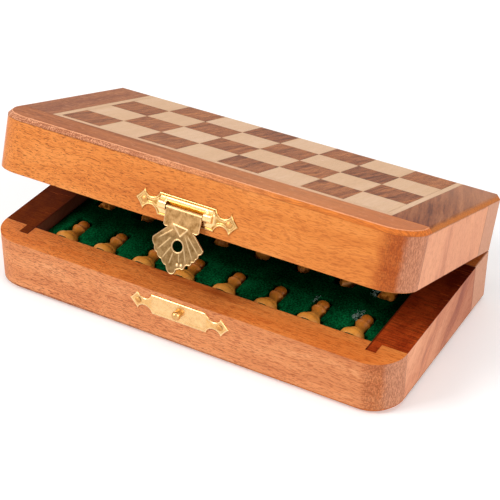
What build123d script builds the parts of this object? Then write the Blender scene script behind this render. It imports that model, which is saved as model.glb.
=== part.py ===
# Travel chess box: two equal wooden trays hinged along the back edge. Each tray carries half of an
# 8 x 8 board on its outer face and a pocketed velvet insert with one side's chessmen inside.
# Millimetres, +Z up, +X along the front edge to the right, front face towards -Y.
# The origin is the middle of the bottom face. The lid is drawn shut, then swung open on its hinges.
from math import radians, sqrt, tan
import os

from build123d import *

os.makedirs("parts", exist_ok=True)

# Board
box_length = 178.0  # whole length of the box, and side of the board when it lies open
columns = 8
rows = 4  # rows of squares on one half
border = 16.0  # border outside the line; the front strip runs the whole length
stringing = 2.6  # width of the pale line round the squares
board_thick = 2.0  # squares, stringing and border alike
glue_line = 0.1  # joint left between neighbouring board pieces
edge_bevel = 1.7  # bevel along the outer edge of the border

# Trays
half_height = 22.7
parting = 0.3  # gap between the two rims when shut
corner_radius = 13.0  # rounded front corners
end_wall = 13.0  # thickness of the front and back rails
side_wall = 14.3
tongue_width = 4.2  # tongue at each end of a side rail
tongue_length = 5.4
core_thick = 3.0
lid_open = 18.9  # degrees the lid stands open

# Velvet insert
velvet_drop = 4.8  # from the rim down to the velvet
insert_fit = 0.15  # room round the insert
pocket_fit = 0.15  # room round a chessman's foot
head_room = 1.0  # room beside and beyond a chessman's head
pocket_round = 1.5  # corner radius of a pocket's narrow end
end_margin = 1.1  # insert left outside the first and last pockets
pawn_margin = 3.3  # from the front wall to the pawns' feet
king_margin = 4.0  # from the king's foot to the back wall
men_below_rim = 1.5  # from the rim down to the highest point of a lying chessman

# Chessmen, standing: each has a turned foot, a stem and its own head
foot_tuck = 0.7  # how far the foot draws in at its underside
foot_wide = 3.2  # height of the foot's widest ring
foot_top = 5.8  # height of the shoulder above it
foot_shoulder = 1.9  # how far the shoulder stands out from the stem
foot_sweep = 1.7  # height of the hollow between shoulder and stem
felt_thick = 0.4  # felt disc glued under the foot
stem_radius = 2.2
collar = 3.2  # height of the rounded collar on the stem
collar_bulge = 0.5
pawn_foot = 5.2
pawn_collar = 8.9  # height of the collar's lower edge
pawn_height = 17.4
pawn_head = 2.85
officer_foot = 5.8
royal_foot = 6.2
rook_height = 19.0
rook_collar = 9.6
rook_crown = 3.5
rook_wall = 1.1
rook_notch = 1.2
knight_height = 20.0
knight_thick = 5.0
knight_neck = 2.8  # half the depth of the neck at its root
knight_crest = 3.3  # how far the mane reaches behind the middle
knight_muzzle = 4.3  # how far the muzzle reaches in front of it
knight_lip = 1.4  # height of the muzzle's blunt end
knight_face = 6.9  # from the ear tips down to the throat
knight_ear = 1.6
bishop_height = 21.6
bishop_collar = 10.8
bishop_head = 3.0
bishop_finial = 0.9
bishop_slit = 0.6
queen_height = 24.0
queen_collar = 12.2
queen_crown = 3.7
queen_ball = 0.9
king_height = 26.0
king_collar = 13.4
king_crown = 3.6
king_cross = 2.8
cross_arm = 0.9

# Butt hinges let into the back rims
hinge_inset = 33.0  # from each end of the box to its hinge's middle
hinge_length = 22.0
leaf_depth = 9.0  # from the back face to the leaf's far edge
leaf_thick = 0.7
leaf_fit = 0.1  # room round a leaf in its recess
barrel_radius = 1.7
hinge_pin_radius = 0.8
knuckles = 5
knuckle_gap = 0.2
moving_gap = 0.3  # between a barrel and what swings past it
running_fit = 0.05  # round a pin in the piece that turns on it
screw_radius = 0.6
screw_head = 1.2
screw_length = 5.0
screw_margin = 3.5  # from a leaf's end to its outer screw
screw_slot = 0.3
countersink = 82.0  # degrees across the cone

# Fan clasp on the lid and catch plate on the base
latch_x = 0.8  # the clasp sits a little right of the middle
plate_from_rim = 6.4  # from each rim to the middle of its plate
plate_thick = 0.5
plate_body = 12.1  # half the length of the plate's straight part
plate_half_height = 4.5
plate_waist = 1.7  # half the height of the neck before each leaf end
leaf_end = 18.4  # from the middle to the leaf end's upper and lower points
leaf_end_height = 4.3
leaf_hollow = 0.2  # how far the leaf end's edges are hollowed
plate_tip = 21.9  # half the whole length
nail_from_middle = 18.0
nail_radius = 0.5
nail_head = 1.3
nail_dome = 0.5
nail_length = 5.0
clasp_pin_radius = 0.5
knuckle_radius = 1.0  # outside of the flap's rolled knuckle
ridge_radius = 1.15  # outside of the plate's rolled ridge
window_room = 0.3  # beside and below the knuckle in the plate's window
window_above = 2.1  # from the pin up to the window's upper edge
tab_half = 7.7  # half the width of the flap's tab
flap_thick = 0.5
flap_open = 3.0  # degrees the flap stands off the plates
flap_hole = 2.15
stud_radius = 1.85
stud_neck = 1.6
stud_neck_length = 0.6
stud_reach = 3.6  # from the front face to the stud's end
stud_shank = 0.9
stud_depth = 4.0  # length of the stud's shank in the rail

# Places worked out from those sizes
box_depth = box_length / 2
square = (box_length - 2 * (border + stringing)) / columns  # side of one playing square
front = -box_depth / 2
back = box_depth / 2
inner_x = box_length / 2 - side_wall
inner_y = box_depth / 2 - end_wall
tongue_x = inner_x + tongue_width
core_top = board_thick + core_thick
velvet_top = half_height - velvet_drop
men_top = half_height - men_below_rim
squares_x = columns * square / 2
squares_front = back - rows * square
line_x = squares_x + stringing
line_front = squares_front - stringing
hinge_y = back + parting / 2
hinge_z = half_height + parting / 2
hinge_axis = Axis((0, hinge_y, hinge_z), (-1, 0, 0))
parting_plane = Plane.XY.offset(hinge_z)
hinge_x = box_length / 2 - hinge_inset
hinge_places = (("left", -hinge_x), ("right", hinge_x))
screw_pitch = hinge_length / 2 - screw_margin
screw_y = back - (leaf_depth + barrel_radius + moving_gap) / 2
screw_x = [place + step * screw_pitch for _, place in hinge_places for step in (-1, 0, 1)]
catch_z = half_height - plate_from_rim
clasp_z = half_height + parting + plate_from_rim
clasp_pin_y = front - knuckle_radius - moving_gap
clasp_axis = Axis((0, clasp_pin_y, clasp_z), (-1, 0, 0))
nail_x = (latch_x - nail_from_middle, latch_x + nail_from_middle)

pieces = {}


def keep(name, piece):
    # Name a finished piece and set it aside for export.
    piece.label = name
    pieces[name] = piece


def swing_open(piece):
    # Turn a piece of the shut lid to where the open lid has it.
    return piece.rotate(hinge_axis, lid_open)


def in_lid(piece):
    # The lid's tray is the base's tray mirrored in the parting plane.
    return swing_open(mirror(piece, about=parting_plane))


def keep_both(name, piece):
    keep("base_" + name, piece)
    keep("lid_" + name, in_lid(piece))


def region(x_low, x_high, y_low, y_high, mode):
    # Keep to, add or cut one rectangle of a plan.
    with Locations(((x_low + x_high) / 2, (y_low + y_high) / 2)):
        Rectangle(x_high - x_low, y_high - y_low, mode=mode)


# Plan of a tray: square at the hinged edge, rounded at the two front corners
with BuildSketch() as tray_plan:
    Rectangle(box_length, box_depth)
    fillet(tray_plan.vertices().sort_by(Axis.Y)[:2], radius=corner_radius)

# ---- Rails ----


def side_rail(side):
    # Runs between the end rails, with a tongue at each end let into them.
    inside, middle, outside = side * inner_x, side * tongue_x, side * box_length / 2
    with BuildPart() as rail:
        with BuildSketch(Plane.XY.offset(board_thick)):
            add(tray_plan.sketch)
            region(min(inside, outside), max(inside, outside), -inner_y, inner_y, Mode.INTERSECT)
            reach = inner_y + tongue_length
            region(min(inside, middle), max(inside, middle), -reach, reach, Mode.ADD)
        extrude(amount=half_height - board_thick)
    return rail.part


def end_rail(facing):
    # Full length of the tray, slotted for the side rails' tongues. facing is -1 in front, +1 at the back.
    near, far = sorted((facing * inner_y, facing * box_depth / 2))
    with BuildPart() as rail:
        with BuildSketch(Plane.XY.offset(board_thick)):
            add(tray_plan.sketch)
            region(-box_length / 2, box_length / 2, near, far, Mode.INTERSECT)
            slot_near, slot_far = sorted((facing * inner_y, facing * (inner_y + tongue_length)))
            for side in (-1, 1):
                slot_left, slot_right = sorted((side * inner_x, side * tongue_x))
                region(slot_left, slot_right, slot_near, slot_far, Mode.SUBTRACT)
        extrude(amount=half_height - board_thick)
    return rail.part


def front_rail(with_stud):
    # The front rail takes the clasp's or the catch's two nails, and on the base the stud's shank.
    with BuildPart() as rail:
        add(end_rail(-1))
        with BuildSketch(Plane.XZ.offset(box_depth / 2)):
            with Locations(*[(x, catch_z) for x in nail_x]):
                Circle(nail_radius)
        extrude(amount=-nail_length, mode=Mode.SUBTRACT)
        if with_stud:
            with BuildSketch(Plane.XZ.offset(box_depth / 2)):
                with Locations((latch_x, catch_z)):
                    Circle(stud_shank)
            extrude(amount=-stud_depth, mode=Mode.SUBTRACT)
    return rail.part


with BuildPart() as back_rail:
    add(end_rail(1))
    # Recesses for the hinge leaves, and half-round notches for the barrels
    with BuildSketch(Plane.XY.offset(half_height - leaf_thick)):
        with Locations(*[(place, back - leaf_depth / 2) for _, place in hinge_places]):
            Rectangle(hinge_length + 2 * leaf_fit, leaf_depth + 2 * leaf_fit)
    extrude(amount=leaf_thick, mode=Mode.SUBTRACT)
    for _, place in hinge_places:
        with BuildSketch(Plane.YZ.offset(place)):
            with Locations((hinge_y, hinge_z)):
                Circle(barrel_radius + moving_gap)
        extrude(amount=hinge_length / 2 + leaf_fit, both=True, mode=Mode.SUBTRACT)
    with BuildSketch(Plane.XY.offset(half_height)):
        with Locations(*[(x, screw_y) for x in screw_x]):
            Circle(screw_radius)
    extrude(amount=-screw_length, mode=Mode.SUBTRACT)

keep("base_front_rail", front_rail(with_stud=True))
keep("lid_front_rail", in_lid(front_rail(with_stud=False)))
keep_both("back_rail", back_rail.part)
keep_both("left_rail", side_rail(-1))
keep_both("right_rail", side_rail(1))

# ---- Board ----

with BuildPart() as core_panel:
    with BuildSketch(Plane.XY.offset(board_thick)):
        Rectangle(2 * inner_x, 2 * inner_y)
    extrude(amount=core_thick)
keep_both("core_panel", core_panel.part)

# Whole bevelled slab that the three border strips are cut from
with BuildPart() as border_slab:
    with BuildSketch():
        add(tray_plan.sketch)
    extrude(amount=board_thick)
    under_edges = border_slab.edges().group_by(Axis.Z)[0]
    chamfer(under_edges.sort_by(Axis.Y)[:-1], length=edge_bevel)


def border_strip(x_low, x_high, y_low, y_high):
    # One strip of the border: the slab kept inside a rectangle.
    with BuildPart() as strip:
        add(border_slab.part)
        with BuildSketch():
            region(x_low, x_high, y_low, y_high, Mode.ADD)
        extrude(amount=board_thick, mode=Mode.INTERSECT)
    return strip.part


edge_x = box_length / 2
line_out_x = line_x + glue_line
line_out_y = line_front - glue_line
keep_both("border_front", border_strip(-edge_x, edge_x, -back, line_out_y))
keep_both("border_left", border_strip(-edge_x, -line_out_x, line_out_y + glue_line, back))
keep_both("border_right", border_strip(line_out_x, edge_x, line_out_y + glue_line, back))


def board_strip(x_low, x_high, y_low, y_high):
    with BuildPart() as strip:
        with BuildSketch():
            region(x_low, x_high, y_low, y_high, Mode.ADD)
        extrude(amount=board_thick)
    return strip.part


keep_both("stringing_front", board_strip(-line_x, line_x, line_front, squares_front - glue_line))
keep_both("stringing_left", board_strip(-line_x, -squares_x - glue_line, squares_front, back))
keep_both("stringing_right", board_strip(squares_x + glue_line, line_x, squares_front, back))


def half_board(first):
    # Every other square, starting from the front left one (0) or the one beside it (1).
    places = []
    for row in range(rows):
        for column in range(columns):
            if (row + column) % 2 == first:
                places.append((-squares_x + (column + 0.5) * square, squares_front + (row + 0.5) * square))
    with BuildPart() as squares:
        with BuildSketch():
            with Locations(*places):
                Rectangle(square - glue_line, square - glue_line)
        extrude(amount=board_thick)
    return squares.part


# The colours swap between the halves, so that they alternate across the hinge when the board is flat.
keep("base_dark_squares", half_board(1))
keep("base_light_squares", half_board(0))
keep("lid_dark_squares", in_lid(half_board(0)))
keep("lid_light_squares", in_lid(half_board(1)))

# ---- Chessmen, turned standing on their feet ----


def foot_lines(foot_radius):
    # From the axis along the underside, round the foot to its shoulder and in to the stem.
    stem_from = foot_top + foot_sweep
    underside = foot_radius - foot_tuck
    shoulder = stem_radius + foot_shoulder
    Line((0, 0), (underside, 0))
    Spline((underside, 0), (foot_radius, foot_wide), (shoulder, foot_top), tangents=((1, 2), (-2, 1)))
    Spline((shoulder, foot_top), (stem_radius, stem_from), tangents=((-2, 1), (0, 1)))
    return stem_from


def collar_lines(stem_from, collar_from):
    # The stem up to a collar, and the collar's rounded ring.
    collar_to = collar_from + collar
    Line((stem_radius, stem_from), (stem_radius, collar_from))
    ThreePointArc((stem_radius, collar_from), (stem_radius + collar_bulge, collar_from + collar / 2),
                  (stem_radius, collar_to))
    return collar_to


def ball_lines(neck_radius, ball_radius, top):
    # A ball from its neck round to the axis. Gives back the height at which the neck meets it.
    middle = top - ball_radius
    join = middle - sqrt(ball_radius ** 2 - neck_radius ** 2)
    ThreePointArc((neck_radius, join), (ball_radius, middle), (0, top))
    return join


with BuildPart() as pawn:
    with BuildSketch(Plane.XZ):
        with BuildLine():
            stem_from = foot_lines(pawn_foot)
            neck_from = collar_lines(stem_from, pawn_collar)
            neck_to = ball_lines(stem_radius, pawn_head, pawn_height)
            Line((stem_radius, neck_from), (stem_radius, neck_to))
            Line((0, pawn_height), (0, 0))
        make_face()
    revolve(axis=Axis.Z)

with BuildPart() as rook:
    crown_flare = rook_crown - stem_radius
    with BuildSketch(Plane.XZ):
        with BuildLine():
            stem_from = foot_lines(officer_foot)
            flare_from = collar_lines(stem_from, rook_collar)
            flare_to = flare_from + 2 * crown_flare
            TangentArc((stem_radius, flare_from), (rook_crown, flare_to), tangent=(0, 1))
            well = rook_crown - rook_wall
            floor = rook_height - rook_notch
            Polyline((rook_crown, flare_to), (rook_crown, rook_height), (well, rook_height),
                     (well, floor), (0, floor), (0, 0))
        make_face()
    revolve(axis=Axis.Z)
    # Three saw cuts across the crown leave six battlements
    with BuildSketch(Plane.XY.offset(floor)):
        with PolarLocations(0, 3, angular_range=180):
            Rectangle(2 * rook_crown + 1, rook_wall)
    extrude(amount=rook_notch, mode=Mode.SUBTRACT)

with BuildPart() as bishop:
    with BuildSketch(Plane.XZ):
        with BuildLine():
            stem_from = foot_lines(officer_foot)
            mitre_from = collar_lines(stem_from, bishop_collar)
            widest = mitre_from + bishop_head
            finial_neck = bishop_finial / 2
            finial_from = ball_lines(finial_neck, bishop_finial, bishop_height)
            Spline((stem_radius, mitre_from), (bishop_head, widest), (finial_neck, finial_from))
            Line((0, bishop_height), (0, 0))
        make_face()
    revolve(axis=Axis.Z)
    # The slit of the mitre
    with BuildSketch(Plane.XZ):
        with Locations((bishop_head, widest + bishop_head / 2)):
            Rectangle(2 * bishop_head, bishop_slit, rotation=45)
    extrude(amount=officer_foot, both=True, mode=Mode.SUBTRACT)

with BuildPart() as queen:
    with BuildSketch(Plane.XZ):
        with BuildLine():
            stem_from = foot_lines(royal_foot)
            flare_from = collar_lines(stem_from, queen_collar)
            crown_top = queen_height - 2.5 * queen_ball
            ball_neck = queen_ball / 2
            ball_from = ball_lines(ball_neck, queen_ball, queen_height)
            TangentArc((stem_radius, flare_from), (queen_crown, crown_top), tangent=(0, 1))
            Line((queen_crown, crown_top), (ball_neck, ball_from))
            Line((0, queen_height), (0, 0))
        make_face()
    revolve(axis=Axis.Z)
    # Notches round the coronet
    with BuildSketch(Plane.XY.offset(queen_height)):
        with PolarLocations(queen_crown, 8):
            Circle(queen_ball * 0.7)
    extrude(amount=-3.2 * queen_ball, mode=Mode.SUBTRACT)

with BuildPart() as king:
    with BuildSketch(Plane.XZ):
        with BuildLine():
            stem_from = foot_lines(royal_foot)
            flare_from = collar_lines(stem_from, king_collar)
            dome_top = king_height - king_cross
            crown_top = dome_top - king_crown / 3
            TangentArc((stem_radius, flare_from), (king_crown, crown_top), tangent=(0, 1))
            TangentArc((0, dome_top), (king_crown, crown_top), tangent=(1, 0))
            Line((0, dome_top), (0, 0))
        make_face()
    revolve(axis=Axis.Z)
    with BuildSketch(Plane.XZ):
        with Locations((0, king_height - king_cross * 0.75)):
            Rectangle(cross_arm, king_cross * 1.5)
        with Locations((0, king_height - king_cross * 0.45)):
            Rectangle(king_cross, cross_arm)
    extrude(amount=cross_arm / 2, both=True)

with BuildPart() as knight:
    plinth = foot_top
    with BuildSketch(Plane.XZ):
        with BuildLine():
            stem_from = foot_lines(officer_foot)
            Polyline((stem_radius, stem_from), (0, stem_from), (0, 0))
        make_face()
    revolve(axis=Axis.Z)
    # Horse's head: arched neck and mane at the back, ears on top, muzzle to the front
    ears = knight_height
    poll = ears - knight_ear
    throat = ears - knight_face
    nose = throat + knight_ear / 2
    chin = nose - knight_lip
    mid_neck = (plinth + 2 * throat) / 3
    with BuildSketch(Plane.XZ):
        with BuildLine():
            Spline((-knight_neck, plinth), (-knight_crest, mid_neck),
                   (-0.8 * knight_crest, (throat + poll) / 2), (-knight_ear / 2, poll))
            Polyline((-knight_ear / 2, poll), (0, ears), (knight_ear / 2, poll))
            Spline((knight_ear / 2, poll), (0.6 * knight_muzzle, (poll + nose) / 2),
                   (knight_muzzle, nose))
            Polyline((knight_muzzle, nose), (knight_muzzle, chin),
                     (0.7 * knight_muzzle, chin - knight_lip / 3), (knight_neck / 2, throat))
            Spline((knight_neck / 2, throat), (0.55 * knight_neck, mid_neck), (knight_neck, plinth))
            Line((knight_neck, plinth), (-knight_neck, plinth))
        make_face()
    extrude(amount=knight_thick / 2, both=True)


# ---- Chessmen lying in their pockets, pawns in front and officers behind ----

insert_x = inner_x - insert_fit
insert_y = inner_y - insert_fit
pitch = 2 * (insert_x - end_margin) / columns
file_x = [-insert_x + end_margin + (column + 0.5) * pitch for column in range(columns)]
pawn_foot_y = -inner_y + pawn_margin
officer_tip_y = inner_y - king_margin - king_height
back_rank = ("rooks", "knights", "bishops", "queen", "king", "bishops", "knights", "rooks")
# standing chessman, foot radius, height, half the room its head needs
officers = {
    "rooks": (rook.part, officer_foot, rook_height, rook_crown),
    "knights": (knight.part, officer_foot, knight_height, knight_muzzle),
    "bishops": (bishop.part, officer_foot, bishop_height, bishop_head),
    "queen": (queen.part, royal_foot, queen_height, queen_crown),
    "king": (king.part, royal_foot, king_height, king_crown),
}


def files_of(name):
    return [file for file, holder in enumerate(back_rank) if holder == name]


def lay_out(man, files, foot_y, foot_radius):
    # Copies of one lying chessman, each with its axis at the height its pocket's floor gives it.
    with BuildPart() as laid:
        with Locations(*[(file_x[file], foot_y, men_top - foot_radius) for file in files]):
            add(man)
    return laid.part


def felt(foot_radius):
    # Felt disc under a foot, in line with the man's own axis.
    with BuildPart() as disc:
        with BuildSketch():
            Circle(foot_radius - foot_tuck)
        extrude(amount=-felt_thick)
    return disc.part


keep_both("pawns", lay_out(pawn.part.rotate(Axis.X, -90), range(columns), pawn_foot_y, pawn_foot))
pawn_felts = lay_out(felt(pawn_foot).rotate(Axis.X, -90), range(columns), pawn_foot_y, pawn_foot)
officer_felts = []
for name, (man, foot_radius, height, _) in officers.items():
    foot_y = officer_tip_y + height
    keep_both(name, lay_out(man.rotate(Axis.X, 90), files_of(name), foot_y, foot_radius))
    officer_felts.append(lay_out(felt(foot_radius).rotate(Axis.X, 90), files_of(name), foot_y, foot_radius))
with BuildPart() as felts:
    add(pawn_felts)
    add(officer_felts)
keep_both("felts", felts.part)


def pocket(x, foot_y, towards, foot_radius, height, head):
    # A keyhole plan: wide round the foot, narrower round the stem and head.
    foot_length = foot_top + pocket_fit
    foot_end = foot_y - towards * (felt_thick + pocket_fit)
    region(x - foot_radius - pocket_fit, x + foot_radius + pocket_fit,
           *sorted((foot_end, foot_y + towards * foot_length)), Mode.ADD)
    head_length = felt_thick + pocket_fit + height + head_room
    with Locations((x, foot_end + towards * head_length / 2)):
        RectangleRounded(2 * (head + head_room), head_length, pocket_round)


with BuildPart() as insert:
    with BuildSketch(Plane.XY.offset(core_top)):
        Rectangle(2 * insert_x, 2 * insert_y)
    extrude(amount=velvet_top - core_top)
    with BuildSketch(Plane.XY.offset(men_top - 2 * pawn_foot)):
        for x in file_x:
            pocket(x, pawn_foot_y, 1, pawn_foot, pawn_height, pawn_head)
    extrude(amount=half_height, mode=Mode.SUBTRACT)
    for name, (_, foot_radius, height, head) in officers.items():
        with BuildSketch(Plane.XY.offset(men_top - 2 * foot_radius)):
            for file in files_of(name):
                pocket(file_x[file], officer_tip_y + height, -1, foot_radius, height, head)
        extrude(amount=half_height, mode=Mode.SUBTRACT)
keep_both("velvet_insert", insert.part)

# ---- Hinges ----

segment = hinge_length / knuckles
leaf_edge = hinge_y - barrel_radius - moving_gap
roll_edge = hinge_y - (barrel_radius + hinge_pin_radius) / 2


def hinge_leaf(place, own_knuckles, bore):
    # A leaf lying flush in the rim of the base, with its own share of the barrel's knuckles.
    with BuildPart() as leaf:
        with BuildSketch(Plane.XY.offset(half_height - leaf_thick)):
            end = hinge_length / 2
            region(place - end, place + end, back - leaf_depth, leaf_edge, Mode.ADD)
            for index in own_knuckles:
                middle = place - end + (index + 0.5) * segment
                half = (segment - knuckle_gap) / 2
                region(middle - half, middle + half, leaf_edge, roll_edge, Mode.ADD)
        extrude(amount=leaf_thick)
        for index in own_knuckles:
            middle = place - end + (index + 0.5) * segment
            with BuildSketch(Plane.YZ.offset(middle)):
                with Locations((hinge_y, hinge_z)):
                    Circle(barrel_radius)
            extrude(amount=(segment - knuckle_gap) / 2, both=True)
        with BuildSketch(Plane.YZ.offset(place)):
            with Locations((hinge_y, hinge_z)):
                Circle(bore)
        extrude(amount=hinge_length, both=True, mode=Mode.SUBTRACT)
        with Locations(*[(place + step * screw_pitch, screw_y, half_height) for step in (-1, 0, 1)]):
            CounterSinkHole(screw_radius, screw_head, depth=leaf_thick, counter_sink_angle=countersink)
    return leaf.part


for side_name, place in hinge_places:
    fixed_knuckles = range(0, knuckles, 2)
    turning_knuckles = range(1, knuckles, 2)
    base_leaf = hinge_leaf(place, fixed_knuckles, hinge_pin_radius)
    lid_leaf = hinge_leaf(place, turning_knuckles, hinge_pin_radius + running_fit)
    keep("hinge_" + side_name + "_base_leaf", base_leaf)
    keep("hinge_" + side_name + "_lid_leaf", in_lid(lid_leaf))
    with BuildPart() as hinge_pin:
        with BuildSketch(Plane.YZ.offset(place)):
            with Locations((hinge_y, hinge_z)):
                Circle(hinge_pin_radius)
        extrude(amount=(hinge_length - knuckle_gap) / 2, both=True)
    keep("hinge_" + side_name + "_pin", hinge_pin.part)

# Countersunk slotted screw, drawn with the middle of its head at the origin and its shank down
with BuildPart() as screw:
    cone = (screw_head - screw_radius) / tan(radians(countersink / 2))
    with BuildSketch(Plane.XZ):
        with BuildLine():
            Polyline((0, 0), (screw_head, 0), (screw_radius, -cone), (screw_radius, -screw_length + cone),
                     (0, -screw_length), close=True)
        make_face()
    revolve(axis=Axis.Z)
    with BuildSketch():
        Rectangle(2 * screw_head, screw_slot)
    extrude(amount=-screw_slot, mode=Mode.SUBTRACT)

with BuildPart() as hinge_screws:
    with Locations(*[(x, screw_y, half_height) for x in screw_x]):
        add(screw.part)
keep_both("hinge_screws", hinge_screws.part)

# ---- Clasp and catch ----

front_face = Plane.XZ.offset(box_depth / 2)  # looking at the front: local x is +X, local y is +Z


def end_lines(side):
    # One end of a plate: in to a neck, then out to a pointed leaf.
    neck_x = side * (plate_body + leaf_end) / 2
    hollow_x = side * ((leaf_end + plate_tip) / 2 - leaf_hollow)
    hollow_z = leaf_end_height / 2 - leaf_hollow
    for up in (1, -1):
        ThreePointArc((side * plate_body, up * plate_half_height), (neck_x, up * plate_waist),
                      (side * leaf_end, up * leaf_end_height))
        ThreePointArc((side * leaf_end, up * leaf_end_height), (hollow_x, up * hollow_z),
                      (side * plate_tip, 0))


with BuildSketch() as plate_plan:
    with BuildLine():
        Line((-plate_body, plate_half_height), (plate_body, plate_half_height))
        end_lines(1)
        Line((-plate_body, -plate_half_height), (plate_body, -plate_half_height))
        end_lines(-1)
    make_face()
    with Locations((-nail_from_middle, 0), (nail_from_middle, 0)):
        Circle(nail_radius, mode=Mode.SUBTRACT)

with BuildPart() as clasp_plate:
    with BuildSketch(front_face):
        with Locations((latch_x, clasp_z)):
            add(plate_plan.sketch)
    extrude(amount=plate_thick)
    # Rolled ridge along the middle that holds the pin
    with BuildSketch(Plane.YZ.offset(latch_x)):
        with Locations((clasp_pin_y, clasp_z)):
            Circle(ridge_radius)
        region(clasp_pin_y, front, clasp_z - ridge_radius, clasp_z + ridge_radius, Mode.ADD)
    extrude(amount=plate_body, both=True)
    with BuildSketch(Plane.YZ.offset(latch_x)):
        with Locations((clasp_pin_y, clasp_z)):
            Circle(clasp_pin_radius)
    extrude(amount=plate_body, both=True, mode=Mode.SUBTRACT)
    # Window for the flap's knuckle
    window_half = tab_half + window_room
    window_below = ridge_radius + window_room
    with BuildSketch(front_face):
        region(latch_x - window_half, latch_x + window_half,
               clasp_z - window_below, clasp_z + window_above, Mode.ADD)
    extrude(amount=2 * (knuckle_radius + ridge_radius), mode=Mode.SUBTRACT)
keep("clasp_plate", swing_open(clasp_plate.part))

with BuildPart() as clasp_pin:
    with BuildSketch(Plane.YZ.offset(latch_x)):
        with Locations((clasp_pin_y, clasp_z)):
            Circle(clasp_pin_radius)
    extrude(amount=plate_body, both=True)
keep("clasp_pin", swing_open(clasp_pin.part))

hole_from_pin = clasp_z - catch_z
# Right half of the fan, from the tab down to the tip, measured from the middle of the hole
fan_neck = (5.8, 6.2)
fan_shoulder = (10.9, 1.2)
scallops = (((10.4, -1.0), (8.9, -2.8)), ((7.9, -4.9), (5.7, -5.9)), ((4.4, -7.9), (2.2, -8.2)))
fan_tip = (0, -10.4)
tab_bottom = 7.3


def fan_side(side):
    Line((side * tab_half, hole_from_pin), (side * tab_half, tab_bottom))
    ThreePointArc((side * tab_half, tab_bottom), (side * (fan_neck[0] + 0.4), tab_bottom - 0.3),
                  (side * fan_neck[0], fan_neck[1]))
    Line((side * fan_neck[0], fan_neck[1]), (side * fan_shoulder[0], fan_shoulder[1]))
    start = fan_shoulder
    for bulge, end in scallops:
        ThreePointArc((side * start[0], start[1]), (side * bulge[0], bulge[1]), (side * end[0], end[1]))
        start = end


with BuildSketch() as fan_plan:
    with BuildLine():
        Line((-tab_half, hole_from_pin), (tab_half, hole_from_pin))
        fan_side(1)
        cusp_x, cusp_z = scallops[-1][1]
        ThreePointArc((cusp_x, cusp_z), fan_tip, (-cusp_x, cusp_z))
        fan_side(-1)
    make_face()
    Circle(flap_hole, mode=Mode.SUBTRACT)

with BuildPart() as clasp_flap:
    flap_face = Plane.XZ.offset(-(clasp_pin_y - knuckle_radius))
    with BuildSketch(flap_face):
        with Locations((latch_x, catch_z)):
            add(fan_plan.sketch)
    extrude(amount=-flap_thick)
    with BuildSketch(Plane.YZ.offset(latch_x)):
        with Locations((clasp_pin_y, clasp_z)):
            Circle(knuckle_radius)
    extrude(amount=tab_half, both=True)
    with BuildSketch(Plane.YZ.offset(latch_x)):
        with Locations((clasp_pin_y, clasp_z)):
            Circle(clasp_pin_radius + running_fit)
    extrude(amount=tab_half, both=True, mode=Mode.SUBTRACT)
keep("clasp_flap", swing_open(clasp_flap.part.rotate(clasp_axis, flap_open)))

with BuildPart() as catch_plate:
    with BuildSketch(front_face):
        with Locations((latch_x, catch_z)):
            add(plate_plan.sketch)
            Circle(stud_neck, mode=Mode.SUBTRACT)
    extrude(amount=plate_thick)
keep("catch_plate", catch_plate.part)

# Round-ended stud, drawn standing on the front rail's face at the origin, with its shank below
with BuildPart() as catch_stud:
    with BuildSketch(Plane.XZ):
        with BuildLine():
            Polyline((0, -stud_depth), (stud_shank, -stud_depth), (stud_shank, 0), (stud_neck, 0),
                     (stud_neck, plate_thick + stud_neck_length))
            ball_from = stud_reach - stud_radius
            Line((stud_neck, plate_thick + stud_neck_length), (stud_radius, ball_from))
            TangentArc((0, stud_reach), (stud_radius, ball_from), tangent=(1, 0))
            Line((0, stud_reach), (0, -stud_depth))
        make_face()
    revolve(axis=Axis.Z)
keep("catch_stud", catch_stud.part.rotate(Axis.X, 90).moved(Location((latch_x, front, catch_z))))

# Dome-headed nail, drawn like the stud
with BuildPart() as nail:
    with BuildSketch(Plane.XZ):
        with BuildLine():
            Polyline((0, -nail_length), (nail_radius, -nail_length), (nail_radius, plate_thick),
                     (nail_head, plate_thick))
            TangentArc((0, plate_thick + nail_dome), (nail_head, plate_thick), tangent=(1, 0))
            Line((0, plate_thick + nail_dome), (0, -nail_length))
        make_face()
    revolve(axis=Axis.Z)


def nails(height):
    with BuildPart() as pair:
        with Locations(*[(x, front, height) for x in nail_x]):
            add(nail.part.rotate(Axis.X, 90))
    return pair.part


keep("clasp_plate_nails", swing_open(nails(clasp_z)))
keep("catch_plate_nails", nails(catch_z))

for name, piece in pieces.items():
    export_step(piece, "parts/" + name + ".step")
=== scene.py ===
from math import atan2, cos, exp, pi, radians, sin, sqrt

import bmesh
import bpy
from mathutils import Euler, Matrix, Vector, noise
from mathutils.geometry import delaunay_2d_cdt
from mathutils.kdtree import KDTree


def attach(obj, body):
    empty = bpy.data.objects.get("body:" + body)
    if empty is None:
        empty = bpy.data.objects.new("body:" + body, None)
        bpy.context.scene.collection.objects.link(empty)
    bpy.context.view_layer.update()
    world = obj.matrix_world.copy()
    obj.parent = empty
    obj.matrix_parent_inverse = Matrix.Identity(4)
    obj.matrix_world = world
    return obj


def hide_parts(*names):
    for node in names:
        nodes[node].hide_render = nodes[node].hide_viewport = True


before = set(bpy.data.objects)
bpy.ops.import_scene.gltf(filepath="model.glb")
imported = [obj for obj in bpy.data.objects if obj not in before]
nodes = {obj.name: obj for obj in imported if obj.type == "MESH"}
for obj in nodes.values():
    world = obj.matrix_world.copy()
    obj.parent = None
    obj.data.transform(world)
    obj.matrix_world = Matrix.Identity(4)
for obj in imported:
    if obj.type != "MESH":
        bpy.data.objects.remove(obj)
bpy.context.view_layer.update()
print("frame loaded,", len(nodes), "parts")

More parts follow.
